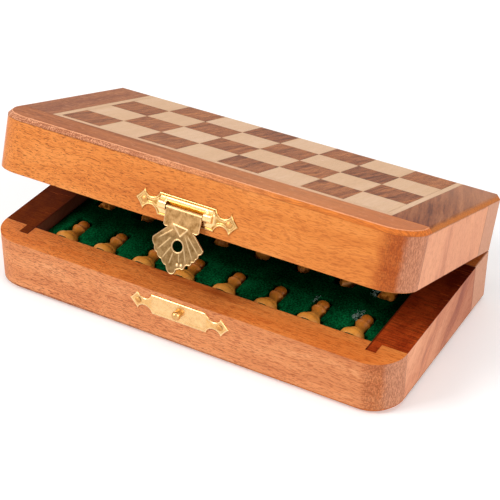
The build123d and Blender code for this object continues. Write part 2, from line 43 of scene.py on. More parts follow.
mm = 0.001
shutBox = {"depth": 89.0, "trayHeight": 22.7, "shutHeight": 45.7, "lidOpen": 18.9}
hingeLine = Vector((0, 44.65, 22.85))  # mm, the axis runs along X


def linear(hexCode):  # sRGB hex to linear colour
    values = [int(hexCode[i:i + 2], 16) / 255 for i in (1, 3, 5)]
    return [v / 12.92 if v <= 0.04045 else ((v + 0.055) / 1.055) ** 2.4 for v in values] + [1.0]


def addNode(tree, kind, settings=None, links=None):  # one node with its settings and its incoming links
    node = tree.nodes.new(kind)
    for key, value in (settings or {}).items():
        if key == "stops":
            ramp = node.color_ramp
            while len(ramp.elements) < len(value):
                ramp.elements.new(1.0)
            for element, (place, colour) in zip(ramp.elements, value):
                element.position = place
                element.color = linear(colour) if isinstance(colour, str) else (colour, colour, colour, 1)
        elif isinstance(key, str) and hasattr(node, key):
            setattr(node, key, value)
        else:
            node.inputs[key].default_value = value
    for key, source in (links or {}).items():
        tree.links.new(source, node.inputs[key])
    return node


def drawnNoise(tree, place, drawing, **look):  # noise on stretched or turned coordinates
    drawn = addNode(tree, "ShaderNodeMapping", drawing, {"Vector": place}).outputs[0]
    return addNode(tree, "ShaderNodeTexNoise", {"Scale": 1.0, **look}, {"Vector": drawn}).outputs["Fac"]


def stained(tree, colour, hexCode, blend, amount, limits):
    # the stain comes in where every limit's value has risen from its low to its high; also tells how much
    share = None
    for value, low, high in limits:
        rise = addNode(tree, "ShaderNodeMapRange", {
            "interpolation_type": "SMOOTHSTEP", "From Min": low, "From Max": high,
            "To Max": amount if share is None else 1.0}, {"Value": value}).outputs[0]
        share = rise if share is None else addNode(tree, "ShaderNodeMath", {"operation": "MULTIPLY"},
                                                   {0: share, 1: rise}).outputs[0]
    stain = addNode(tree, "ShaderNodeMix", {"data_type": "RGBA", "blend_type": blend, 7: linear(hexCode)},
                    {0: share, 6: colour})
    return stain.outputs[2], share


def newMaterial(name):
    material = bpy.data.materials.new(name)
    material.use_nodes = True
    material.node_tree.nodes.clear()
    return material, material.node_tree


def finishMaterial(material, shader):
    addNode(material.node_tree, "ShaderNodeOutputMaterial", {}, {"Surface": shader.outputs[0]})
    return material


def trayCoordinates(tree, tray):
    # Millimetres in the tray's own frame: z 0 on the playing face, 2 at the rails' joint with the board,
    # 22.7 on the rim, y -44.5 in front. The lid is turned back to shut and mirrored, so both trays read the same.
    settings = {"Scale": (1000, 1000, 1000)}
    if tray == "lid":
        turn = radians(-shutBox["lidOpen"])
        mirrored = Vector((hingeLine.x, hingeLine.y, -hingeLine.z))
        shift = hingeLine - Euler((turn, 0, 0)).to_matrix() @ mirrored
        settings = {"Scale": (1000, 1000, -1000), "Rotation": (turn, 0, 0), "Location": shift}
    place = addNode(tree, "ShaderNodeTexCoord").outputs["Object"]
    return addNode(tree, "ShaderNodeMapping", settings, {"Vector": place}).outputs[0]


def setMaterial(names, material):
    for name in names:
        piece = nodes[name]
        piece.data.materials.clear()
        piece.data.materials.append(material)


def tidyMesh(mesh, smooth):
    # merge doubles, point the faces outwards and shade smooth up to an angle
    shape = bmesh.new()
    shape.from_mesh(mesh)
    bmesh.ops.remove_doubles(shape, verts=shape.verts, dist=0.000002)
    bmesh.ops.recalc_face_normals(shape, faces=shape.faces)
    shape.to_mesh(mesh)
    shape.free()
    mesh.shade_smooth()
    mesh.set_sharp_from_angle(angle=radians(smooth))


def newObject(name, verts, faces, material, smooth=None, proud=None):
    # verts in millimetres in the shared frame; proud, 0 to 1 per vertex, marks worn crests
    mesh = bpy.data.meshes.new(name)
    mesh.from_pydata([Vector(v) * mm for v in verts], [], faces)
    if proud:
        mesh.attributes.new("proud", "FLOAT", "POINT").data.foreach_set("value", proud)
    if smooth:
        tidyMesh(mesh, smooth)
    mesh.materials.append(material)
    piece = bpy.data.objects.new(name, mesh)
    bpy.context.collection.objects.link(piece)
    return piece


def settle(piece, body, replaced):
    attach(piece, body)
    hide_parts(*replaced)
    return piece


def newPiece(name, verts, faces, material, body, replaced, smooth=35.0, proud=None):
    return settle(newObject(name, verts, faces, material, smooth, proud), body, replaced)


def groupTree(name, inputs, output):
    # an empty Geometry Nodes group with its sockets; returns the tree and what it is given
    tree = bpy.data.node_groups.new(name, "GeometryNodeTree")
    for socket, kind in inputs.items():
        tree.interface.new_socket(socket, in_out="INPUT", socket_type="NodeSocket" + kind)
    tree.interface.new_socket(output, in_out="OUTPUT", socket_type="NodeSocketGeometry")
    return tree, addNode(tree, "NodeGroupInput").outputs


def bake(piece, group, values):
    # run the node group on the piece and keep the result as a plain mesh
    modifier = piece.modifiers.new(group.name, "NODES")
    modifier.node_group = group
    for item in group.interface.items_tree:
        if item.name in values:
            modifier[item.identifier] = values[item.name]
    shape = bpy.data.meshes.new_from_object(piece.evaluated_get(bpy.context.evaluated_depsgraph_get()))
    piece.modifiers.remove(modifier)
    piece.data = shape
    shape.name = piece.name


def swing(point, angle=shutBox["lidOpen"], axis=hingeLine):
    # turn a point of the shut lid, or of the closed flap, about its hinge
    return Euler((-radians(angle), 0, 0)).to_matrix() @ (Vector(point) - axis) + axis


def arcPoints(start, bulge, end, step):
    # points along the arc from start through bulge to end, without the end itself
    a, b, c = (Vector(p) for p in (start, bulge, end))
    u, v = b - a, c - a
    cross = 2 * (u.x * v.y - u.y * v.x)
    if abs(cross) < 1e-3:
        count = max(1, round((c - a).length / step))
        return [a.lerp(c, i / count) for i in range(count)]
    centre = a + Vector((v.y * u.length_squared - u.y * v.length_squared,
                         u.x * v.length_squared - v.x * u.length_squared)) / cross
    first, middle, last = (atan2(p.y - centre.y, p.x - centre.x) for p in (a, b, c))
    sweep = (last - first) % (2 * pi)
    if (middle - first) % (2 * pi) > sweep:
        sweep -= 2 * pi
    radius = (a - centre).length
    count = max(2, round(abs(sweep) * radius / step))
    return [centre + radius * Vector((cos(first + sweep * i / count), sin(first + sweep * i / count)))
            for i in range(count)]


def outlinePoints(corners, step):
    # corners are points, or (bulge, point) pairs for an arc that ends at the point
    ends = [c if not isinstance(c[0], tuple) else c[1] for c in corners]
    points = []
    for index, corner in enumerate(corners):
        start, end = ends[index - 1], ends[index]
        bulge = corner[0] if isinstance(corner[0], tuple) else (Vector(start) + Vector(end)) / 2
        points += arcPoints(start, bulge, end, step)
    return points


def nearest(points):
    tree = KDTree(len(points))
    for index, p in enumerate(points):
        tree.insert((p.x, p.y, 0), index)
    tree.balance()
    return lambda p: tree.find((p.x, p.y, 0))[2]


def reliefShape(loops, top, bottom, cell, insets, mark=None):
    # Closed shape over a flat outline: loops[0] is the outside, the rest are holes. top, bottom and mark
    # take (x, y, distance to the outside, distance to the nearest hole) and give two heights and a mark.
    toOutside = nearest(loops[0])
    toHole = nearest([p for loop in loops[1:] for p in loop]) if len(loops) > 1 else lambda p: 99.0

    def inside(p, loop):
        crossings = 0
        for a, b in zip(loop, loop[1:] + loop[:1]):
            if (a.y > p.y) != (b.y > p.y) and p.x < (b.x - a.x) * (p.y - a.y) / (b.y - a.y) + a.x:
                crossings += 1
        return crossings % 2 == 1

    def onSheet(p):
        return inside(p, loops[0]) and not any(inside(p, hole) for hole in loops[1:])

    def toEdge(p):
        return min(toOutside(p), toHole(p))

    points, edges = [], []
    for loop in loops:
        first = len(points)
        points += loop
        edges += [(first + i, first + (i + 1) % len(loop)) for i in range(len(loop))]
    for inset in insets:
        for loop in loops:
            for before, p, after in zip(loop[-1:] + loop[:-1], loop, loop[1:] + loop[:1]):
                along = (after - before).normalized()
                for side in (Vector((-along.y, along.x)), Vector((along.y, -along.x))):
                    ring = p + side * inset
                    if toEdge(ring) > inset * 0.97 and onSheet(ring):
                        points.append(ring)
    left, right = min(p.x for p in loops[0]), max(p.x for p in loops[0])
    low, high = min(p.y for p in loops[0]), max(p.y for p in loops[0])
    clear = insets[-1] + 0.4 * cell if insets else 0.5 * cell
    rows = int((high - low) / (cell * 0.87)) + 1
    for row in range(rows):
        y = low + row * cell * 0.87
        for column in range(int((right - left) / cell) + 1):
            p = Vector((left + (column + 0.5 * (row % 2)) * cell, y))
            if toEdge(p) > clear and onSheet(p):
                points.append(p)
    flat, _, triangles, _, _, _ = delaunay_2d_cdt(points, edges, [], 1, 1e-5)
    flat = [Vector(p) for p in flat]
    triangles = [t for t in triangles if onSheet(sum((flat[i] for i in t), Vector((0, 0))) / 3)]
    used = sorted({i for t in triangles for i in t})
    place = {old: new for new, old in enumerate(used)}
    flat = [flat[i] for i in used]
    triangles = [[place[i] for i in t] for t in triangles]
    count = len(flat)
    sample = [(p.x, p.y, toOutside(p), toHole(p)) for p in flat]
    verts = [(s[0], s[1], top(*s)) for s in sample] + [(s[0], s[1], bottom(*s)) for s in sample]
    faces = [tuple(t) for t in triangles] + [tuple(i + count for i in reversed(t)) for t in triangles]
    sides = {}
    for t in triangles:
        for a, b in zip(t, t[1:] + t[:1]):
            if sides.pop((b, a), None) is None:
                sides[(a, b)] = True
    faces += [(b, a, a + count, b + count) for a, b in sides]
    marks = [mark(*s) if mark else 0.0 for s in sample]
    return verts, faces, marks + marks


def bell(value, middle, width):
    return exp(-((value - middle) / width) ** 2)


def step(value, low, high):
    share = min(1.0, max(0.0, (value - low) / (high - low)))
    return share * share * (3 - 2 * share)


# Timber: open-pored hardwood under a thin wax finish
alongX, alongY = (0, 0, 0), (0, 0, pi / 2)
# how far the lid's figure is shifted and the heights of the rim in mm, the worn edge and the dents in metres
board = {"lidShift": 37.0, "rim": (22.5, 22.66), "wornEdge": 0.0005, "dent": 0.0002}


def timber(name, tray, wood):
    # colour bands and fine fibre run with the grain, and the cut vessels show as short dark flecks
    material, tree = newMaterial(name + "_" + tray)
    place = trayCoordinates(tree, tray)
    seed = wood["seed"] + (board["lidShift"] if tray == "lid" else 0.0)
    start = place
    if "cell" in wood:  # every playing square is cut from another board
        fromCorner = addNode(tree, "ShaderNodeVectorMath", {"operation": "ADD", 1: wood["cellFrom"]}, {0: place})
        inCells = addNode(tree, "ShaderNodeVectorMath", {"operation": "DIVIDE", 1: (wood["cell"], wood["cell"], 1e6)},
                          {0: fromCorner.outputs[0]})
        cell = addNode(tree, "ShaderNodeVectorMath", {"operation": "FLOOR"}, {0: inCells.outputs[0]})
        chance = addNode(tree, "ShaderNodeTexWhiteNoise", {}, {"Vector": cell.outputs[0]}).outputs
        start = addNode(tree, "ShaderNodeVectorMath", {"operation": "MULTIPLY_ADD", 1: (300, 300, 300)},
                        {0: chance["Color"], 2: place}).outputs[0]
    grain = addNode(tree, "ShaderNodeMapping", {"Rotation": wood["grain"], "Location": (seed, 0, seed)},
                    {"Vector": start}).outputs[0]
    wander = addNode(tree, "ShaderNodeTexNoise", {"Scale": 1 / wood["wanderLength"], "Detail": 2.0},
                     {"Vector": grain}).outputs["Color"]
    bent = addNode(tree, "ShaderNodeVectorMath", {"operation": "MULTIPLY_ADD", 1: (0, wood["wander"], wood["wander"])},
                   {0: wander, 2: grain}).outputs[0]

    def streaks(size, detail, rough=0.55):  # size is (length, width) in mm along and across the grain
        drawing = {"Scale": (1 / size[0], 1 / size[1], 1 / size[1])}
        return drawnNoise(tree, bent, drawing, Detail=detail, Roughness=rough)

    fibre = streaks(wood["fibre"], 3.0, 0.65)
    tone = addNode(tree, "ShaderNodeMath", {"operation": "MULTIPLY_ADD", 1: wood["fibreShare"]},
                   {0: fibre, 2: streaks(wood["band"], 3.0)}).outputs[0]
    if "cell" in wood:
        tone = addNode(tree, "ShaderNodeMath", {"operation": "MULTIPLY_ADD", 1: wood["cellShare"]},
                       {0: chance["Value"], 2: tone}).outputs[0]
    middle = 0.5 + 0.5 * wood["fibreShare"] + 0.5 * wood.get("cellShare", 0.0)
    spread = addNode(tree, "ShaderNodeMapRange", {"From Min": middle - wood["contrast"],
                                                  "From Max": middle + wood["contrast"]}, {"Value": tone}).outputs[0]
    colour = addNode(tree, "ShaderNodeValToRGB", {"stops": wood["colours"]}, {"Fac": spread}).outputs[0]
    axes = addNode(tree, "ShaderNodeSeparateXYZ", {}, {0: place}).outputs
    for zone in wood.get("rim", ()):
        limits = [(axes[2], *board["rim"])]
        limits += [(axes[zone[ramp][0]], *zone[ramp][1:]) for ramp in ("along", "until") if ramp in zone]
        if "lines" in zone:  # end grain of a flat-sawn board: fine lines slanting over the rim
            lines = drawnNoise(tree, place, {"Rotation": (0, 0, -0.5), "Scale": (0.1, 1.5, 1.0)},
                               Detail=4.0, Roughness=0.65, Distortion=0.4)
            limits.append((lines, zone["lines"] - 0.06, zone["lines"] + 0.06))
        if "streaky" in zone:
            limits.append((tone, middle - zone["streaky"], middle + zone["streaky"]))
        colour, _ = stained(tree, colour, zone["colour"], "MIX", zone.get("amount", 1.0), limits)
    limits = [(streaks(wood["fleck"], 2.0), wood["fleckFrom"], wood["fleckFrom"] + 0.12)]
    colour, _ = stained(tree, colour, wood["fleckColour"], "MULTIPLY", wood["fleckDark"], limits)
    limits = [(streaks(wood["pore"], 1.0), wood["poreFrom"], wood["poreFrom"] + 0.06)]
    if "poreThin" in wood:  # fewer open vessels towards the right end
        limits.append((axes[0], *wood["poreThin"]))
    colour, pores = stained(tree, colour, wood["poreColour"], "MIX", wood["poreDark"], limits)

    blotch = addNode(tree, "ShaderNodeTexNoise", {"Scale": 0.35, "Detail": 4.0, "Roughness": 0.7},
                     {"Vector": place}).outputs["Fac"]
    grit = drawnNoise(tree, place, {"Rotation": (0.2, 0.2, 0), "Scale": (2.4, 2.4, 0.8)},
                      Detail=3.0, Roughness=0.6, Distortion=0.6)
    for zone in wood.get("zones", ()):
        value = axes[zone["axis"]]
        if zone.get("bothEnds"):
            value = addNode(tree, "ShaderNodeMath", {"operation": "ABSOLUTE"}, {0: value}).outputs[0]
        if "ragged" in zone:
            value = addNode(tree, "ShaderNodeMath", {"operation": "MULTIPLY_ADD", 1: zone["ragged"]},
                            {0: blotch, 2: value}).outputs[0]
        limits = [(value, zone["low"], zone["high"])]
        if "along" in zone:  # the tint also comes in along a second axis: (axis, low, high)
            limits.append((axes[zone["along"][0]], *zone["along"][1:]))
        if "grit" in zone:  # end grain: pores show as a dense speckle
            limits.append((fibre if zone.get("drawn") else grit, 0.5 - zone["grit"], 0.5 + zone["grit"]))
        colour, _ = stained(tree, colour, zone["colour"], zone.get("blend", "MIX"), zone.get("amount", 1.0), limits)

    dents = addNode(tree, "ShaderNodeMath", {"operation": "MULTIPLY_ADD", 1: -0.8}, {0: pores, 2: fibre}).outputs[0]
    edges = addNode(tree, "ShaderNodeBevel", {"samples": 4, "Radius": board["wornEdge"]}).outputs[0]
    bump = addNode(tree, "ShaderNodeBump", {"Strength": wood["relief"], "Distance": board["dent"]},
                   {"Height": dents, "Normal": edges}).outputs[0]
    rough = addNode(tree, "ShaderNodeMapRange", {"To Min": wood["roughness"] - 0.07,
                                                 "To Max": wood["roughness"] + 0.09}, {"Value": fibre}).outputs[0]
    shader = addNode(tree, "ShaderNodeBsdfPrincipled", {"IOR": 1.46, "Specular IOR Level": wood["polish"]},
                     {"Base Color": colour, "Roughness": rough, "Normal": bump})
    return finishMaterial(material, shader)


def tint(axis, low, high, colour, **more):  # a colour that comes in along an axis from low to high
    return dict(more, axis=axis, low=low, high=high, colour=colour)


def threeTones(dark, plain, bright, at=0.5):
    return [(0.0, dark), (at, plain), (1.0, bright)]


# sizes are (length, width) in mm along and across the grain
railWood = {
    "seed": 3.0, "grain": alongX, "wander": 5.0, "wanderLength": 28.0, "contrast": 0.3,
    "band": (60.0, 7.0), "fibre": (7.0, 0.6), "fibreShare": 0.5, "fleck": (3.2, 0.5), "fleckFrom": 0.5,
    "fleckDark": 0.3, "fleckColour": "#B4602A", "pore": (2.4, 0.2), "poreFrom": 0.615, "poreDark": 0.95,
    "poreColour": "#782402", "relief": 0.3, "roughness": 0.5, "polish": 0.2,
    "colours": threeTones("#CF7230", "#E4893F", "#F09A50"),
}
offRim = (2, *reversed(board["rim"]))
cornerShade = tint(0, 78.0, 86.0, "#BC7038", ragged=9.0, blend="MULTIPLY", amount=0.6, along=offRim)
frontEnds = [
    tint(0, 85.0, 87.5, "#DA9A78", bothEnds=True, ragged=3.0, amount=0.75, along=offRim),
    tint(0, 76.0, 80.0, "#7E3A1C", grit=0.12, amount=0.5, along=offRim),
    tint(2, 3.2, 2.7, "#7C3818", ragged=1.5, amount=0.85, along=(0, 60.0, -30.0)),
]
frontRim = [{"colour": "#E47C30", "amount": 0.9}, {"streaky": 0.25, "colour": "#F6A050", "amount": 0.6},
            # painted shade, following the grain's streaks: darker in the middle, under the clasp and its flap
            {"along": (0, -34.0, -8.0), "until": (0, 34.0, 10.0), "streaky": -0.3, "colour": "#A0400E", "amount": 0.75}]
# painted shade: the back rim is darker and redder than the front one, as it lies deep under the lid
backRim = [{"colour": "#A8521E", "amount": 0.9}, {"streaky": 0.25, "colour": "#CC7838", "amount": 0.6}]
# the side rims are a darker, redder wood; painted shade darkens the left rail's rim and both rims towards the back,
# under the lid
sideRim = [{"colour": "#B84218"}, {"streaky": 0.2, "colour": "#CC5A22", "amount": 0.65},
           {"along": (0, 0.0, -20.0), "colour": "#78360E", "amount": 0.9},
           {"along": (1, -30.0, 28.0), "colour": "#561408", "amount": 0.88},
           {"streaky": -0.16, "colour": "#300A04", "amount": 0.36},
           {"lines": 0.54, "colour": "#380C05", "amount": 0.7}, {"lines": 0.62, "colour": "#DC6426", "amount": 0.5}]
# painted shade on the side rails' inner faces, inside the tray
innerFaceShade = tint(0, 75.5, 75.1, "#54200E", bothEnds=True, amount=0.85)
railJoint = tint(1, 30.9, 31.4, "#7A4A42", amount=0.6)
frontWood = {
    "lid": dict(railWood, zones=[cornerShade] + frontEnds, rim=frontRim, poreThin=(120.0, -80.0)),
    # painted sheen: the base's front rail is the same wood as the lid's, drawn paler and pinker where light washes its
    # face
    "base": dict(railWood, seed=7.0, fleckDark=0.42, poreThin=(150.0, -60.0), poreColour="#84361A", rim=frontRim,
                 colours=threeTones("#CC794A", "#E8965E", "#F4AA74"),
                 zones=[dict(cornerShade, amount=0.25)] + frontEnds),
}
anySide = dict(railWood, band=(60.0, 8.0), wander=9.0, fibreShare=0.35, polish=0.02, rim=sideRim)
sideWood = {
    "lid": dict(anySide, seed=11.0, grain=(0, pi / 2 - 0.12, 0), poreDark=0.18, fleckDark=0.16,
                colours=threeTones("#C88468", "#E9A482", "#FAB68E", 0.35),
                zones=[innerFaceShade, railJoint, tint(2, 3.1, 2.6, "#9A5A3C", ragged=1.2, amount=0.6)]),
    "base": dict(anySide, seed=13.0, grain=(-pi / 4, 0, -pi / 2), poreDark=0.2, fleckDark=0.2,
                 colours=threeTones("#BE7C68", "#E8A07C", "#FABA94", 0.35),
                 # painted shade: the outside of the base's side rail darkens towards the back
                 zones=[tint(1, -30.0, 34.0, "#D6C8CA", blend="MULTIPLY"), innerFaceShade, railJoint]),
}
backWood = dict(railWood, seed=19.0, rim=backRim, zones=[
    tint(0, 88.3, 88.9, "#DDA080", bothEnds=True),
    tint(0, 88.3, 88.9, "#B47454", bothEnds=True, grit=0.2, amount=0.4)])
chamferBand = [
    tint(2, 0.25, 0.5, "#EEAC82", ragged=0.5),
    tint(2, 0.25, 0.5, "#E8883A", along=(0, -40.0, 50.0)),
    tint(2, 0.25, 0.4, "#A05028", grit=0.14, drawn=True, amount=0.6),
    tint(2, 0.25, 0.5, "#92482A", grit=0.07, along=(0, 70.0, -60.0), amount=0.8),
]
borderWood = dict(railWood, seed=23.0, band=(60.0, 4.0), contrast=0.26, fibreShare=0.7, poreDark=0.3, fleckDark=0.35,
                  fleckColour="#9A6A50", poreColour="#5A2F1C", roughness=0.55, polish=0.12,
                  colours=threeTones("#884A2A", "#AE6438", "#C47846"))
border = {
    "front": dict(borderWood, zones=[tint(0, -75.0, 60.0, "#E09058", amount=0.55)] + chamferBand
                  + [tint(0, 30.0, 90.0, "#F0A868", blend="MULTIPLY", amount=0.25)]),
    "left": dict(borderWood, seed=29.0, grain=alongY, colours=threeTones("#884C34", "#A86844", "#BE7C52"),
                 zones=chamferBand),
    "right": dict(borderWood, seed=33.0, grain=(0, 0, pi / 2 - 0.35), band=(60.0, 3.4), contrast=0.22, wander=2.0,
                  fibreShare=0.45, fleckDark=0.2, poreDark=0.2,
                  colours=threeTones("#643626", "#985C3C", "#BE7E56", 0.45),
                  zones=[tint(1, -10.0, 40.0, "#C48A6A", amount=0.5),
                         tint(1, -10.0, -30.0, "#E0D0CC", blend="MULTIPLY"),
                         tint(2, 0.7, 1.6, "#CC7834", ragged=1.2),
                         tint(2, 0.3, 0.6, "#8A4420", grit=0.12, amount=0.4)]),
}
coreWood = dict(railWood, seed=31.0, colours=threeTones("#B08050", "#C29060", "#CFA070"))

for tray in ("base", "lid"):
    setMaterial([tray + "_front_rail"], timber("sheesham_front_rail", tray, frontWood[tray]))
    setMaterial([tray + "_back_rail"], timber("sheesham_back_rail", tray, backWood))
    setMaterial([tray + "_left_rail", tray + "_right_rail"], timber("sheesham_side_rail", tray, sideWood[tray]))
    for edge, wood in border.items():
        setMaterial([tray + "_border_" + edge], timber("walnut_border_" + edge, tray, wood))
    setMaterial([tray + "_core_panel"], timber("core_panel", tray, coreWood))
print("rails, panels and borders done")

# Playing squares, 17.6 mm, each with its own streaks
square = {"cell": 17.6, "cellFrom": (70.4, 25.9, 0)}
darkSquare = dict(borderWood, **square, seed=41.0, grain=(0, 0, pi / 2 + 0.12), band=(40.0, 2.2), fibre=(8.0, 0.5),
                  cellShare=0.22, contrast=0.27, wander=2.5, fleck=(7.0, 0.42), fleckDark=0.68, fleckFrom=0.52,
                  pore=(6.0, 0.3), poreFrom=0.57, poreDark=0.65, poreColour="#4A2618",
                  colours=[(0.0, "#623624"), (0.4, "#A46440"), (0.7, "#C07A4C"), (1.0, "#D48C58")])
lightSquare = dict(borderWood, **square, seed=53.0, grain=alongY, poreDark=0.0, fleckDark=0.08, cellShare=0.5,
                   contrast=0.6, colours=threeTones("#DAAE86", "#E6BC96", "#F2CEB0"))
for tray in ("base", "lid"):
    setMaterial([tray + "_dark_squares"], timber("rosewood_squares", tray, darkSquare))
    setMaterial([tray + "_light_squares"], timber("maple_squares", tray, lightSquare))
    line = timber("maple_line", tray, dict(lightSquare, cell=1e5))
    setMaterial([tray + "_stringing_" + edge for edge in ("front", "left", "right")], line)
print("board done")

# Chessmen: every man is turned standing on the origin and then laid in its pocket

def turned(rings, count=44, shapeOf=None):
    # rings are (height, radius) from axis to axis; shapeOf moves a point from (height, radius, angle)
    verts, faces = [], []
    for height, radius in rings:
        for part in range(count):
            angle = 2 * pi * part / count
            h, r = shapeOf(height, radius, angle) if shapeOf else (height, radius)
            verts.append((r * cos(angle), r * sin(angle), h))
    for ring in range(len(rings) - 1):
        for part in range(count):
            a, b = ring * count + part, ring * count + (part + 1) % count
            faces.append((a, b, b + count, a + count))
    return verts, faces


def smoothLine(knots, parts=4):
    # a smooth line through 2-D knots; a knot with a third value is a crisp corner
    line = []
    for index in range(len(knots) - 1):
        a, b = knots[index][:2], knots[index + 1][:2]
        crispA, crispB = len(knots[index]) > 2 or index == 0, len(knots[index + 1]) > 2 or index + 2 == len(knots)
        before = a if crispA else knots[index - 1][:2]
        after = b if crispB else knots[index + 2][:2]
        length = sqrt((b[0] - a[0]) ** 2 + (b[1] - a[1]) ** 2)
        slopes = []
        for near, far, single in ((before, b, crispA), (a, after, crispB)):
            run = sqrt((far[0] - near[0]) ** 2 + (far[1] - near[1]) ** 2) or 1.0
            slopes.append([(far[k] - near[k]) * length / run for k in (0, 1)])
        for part in range(parts):
            t = part / parts
            line.append(tuple((2 * t ** 3 - 3 * t * t + 1) * a[k] + (t ** 3 - 2 * t * t + t) * slopes[0][k]
                              + (3 * t * t - 2 * t ** 3) * b[k] + (t ** 3 - t * t) * slopes[1][k] for k in (0, 1)))
    line.append(knots[-1][:2])
    return [(a, b) for a, b in line]


men = {"stem": 2.25, "belowRim": 1.5, "pawnFootY": -28.2, "officerTipY": 1.5, "firstFile": -64.269,
       "filePitch": 18.3625, "feltThick": 0.4, "feltInset": 0.7}
# height, foot radius, half the pocket's width at the head, first file, how many, files between them
ranks = {name: dict(zip(("height", "foot", "head", "first", "count", "apart"), values)) for name, values in {
    "pawns": (17.4, 5.2, 2.85, 0, 8, 1), "rooks": (19.0, 5.8, 3.5, 0, 2, 7), "knights": (20.0, 5.8, 4.3, 1, 2, 5),
    "bishops": (21.6, 5.8, 3.0, 2, 2, 3), "queen": (24.0, 6.2, 3.7, 3, 1, 1), "king": (26.0, 6.2, 3.6, 4, 1, 1),
}.items()}


def footKnots(radius):
    # bun foot, its shoulder and the hollow up to the stem
    return [(0, 0, 1), (0, radius - 0.9, 1), (0.2, radius - 0.66, 1), (2.0, radius - 0.18), (3.7, radius),
            (4.9, radius - 0.35), (5.55, radius - 0.95), (6.05, radius - 1.8), (6.35, men["stem"] + 0.75, 1),
            (6.6, men["stem"] + 0.35), (7.9, men["stem"] - 0.1)]


def ballKnots(middle, radius, start):
    return [(middle + radius * sin(radians(a)), radius * cos(radians(a))) for a in range(start, 86, 15)] + \
        [(middle + radius, 0, 1)]


def rookNotch(height, radius, angle):  # six battlements
    if height > 17.9 and radius > 2.2 and (angle * 3 / pi) % 1 < 0.34:
        return 17.85, radius
    return height, radius


def bishopSlit(height, radius, angle):  # slanting saw cut in the mitre
    across = (height - 18.0) * 0.7 - (radius * cos(angle) - 1.4) * 0.7
    if cos(angle) > 0 and 14.5 < height < 19.6:
        radius -= 0.75 * exp(-(across / 0.22) ** 2) * min(1.0, 1.5 * cos(angle))
    return height, radius


def coronet(height, radius, angle):  # eight points round the queen's crown
    if height > 20.4 and radius > 2.5:
        height -= 0.8 * max(0.0, cos(8 * angle)) ** 0.7
    return height, radius


def crossOnTop(verts, faces):
    # the king's cross: a bevelled upright and arms
    for low, high, half, deep in ((22.6, 26.0, 0.45, 0.45), (24.3, 25.2, 1.4, 0.42)):
        first = len(verts)
        for h, share in ((low, 0.8), (low + 0.15, 1), (high - 0.15, 1), (high, 0.8)):
            verts += [(sx * half * share, sy * deep * share, h) for sx, sy in ((-1, -1), (1, -1), (1, 1), (-1, 1))]
        for ring in range(3):
            for side in range(4):
                a, b = first + ring * 4 + side, first + ring * 4 + (side + 1) % 4
                faces.append((a, b, b + 4, a + 4))
        faces += [(first + 3, first + 2, first + 1, first), (first + 12, first + 13, first + 14, first + 15)]


def horseHead():
    # carved knight: arched neck with mane cuts, ears, eye and muzzle, rounded over from both flanks
    back = [(-2.9, 5.3), (-3.1, 7.2), (-3.35, 10.0), (-3.2, 13.0), (-2.5, 16.0), (-1.5, 18.0), (-0.9, 18.9)]
    front = [(0.0, 20.0), (0.55, 18.7), (1.5, 17.7), (2.6, 16.3), (3.7, 14.7), (4.3, 13.6), (4.2, 12.7),
             (3.4, 12.3), (2.5, 12.9), (1.5, 12.6), (1.25, 11.2), (1.55, 9.0), (2.3, 7.0), (2.9, 5.3)]
    outline = smoothLine(back + [(0.0, 20.0, 1)], 6)[:-1] + smoothLine([(0.0, 20.0, 1)] + front[1:], 6)
    outline = [Vector(p) for p in outline] + [Vector((1.4, 5.3)), Vector((0, 5.3)), Vector((-1.4, 5.3))]

    def flank(x, y, gap, holeGap):
        height = 2.45 * sqrt(max(0.0, 1 - max(0.0, 1 - gap / 1.9) ** 2)) + 0.02
        height -= 0.3 * bell(sqrt((x - 1.3) ** 2 + (y - 16.4) ** 2), 0.45, 0.2) * step(gap, 0.2, 0.6)  # eye
        height -= 0.3 * bell(sqrt((x - 3.7) ** 2 + (y - 13.6) ** 2), 0, 0.25)  # nostril
        height -= 0.25 * bell(y - 12.9, 0.55 * (x - 2.4), 0.13) * step(x, 2.3, 2.8)  # mouth
        if x < -0.6 and y > 7:
            height -= 0.3 * max(0.0, sin((y + 0.8 * x) * 4.2)) * step(-x, 0.6, 1.4)  # mane
        return height

    verts, faces, _ = reliefShape([outline], flank, lambda *a: -flank(*a), 0.34, [0.08, 0.25, 0.5])
    return [(x, z, y) for x, y, z in verts], faces


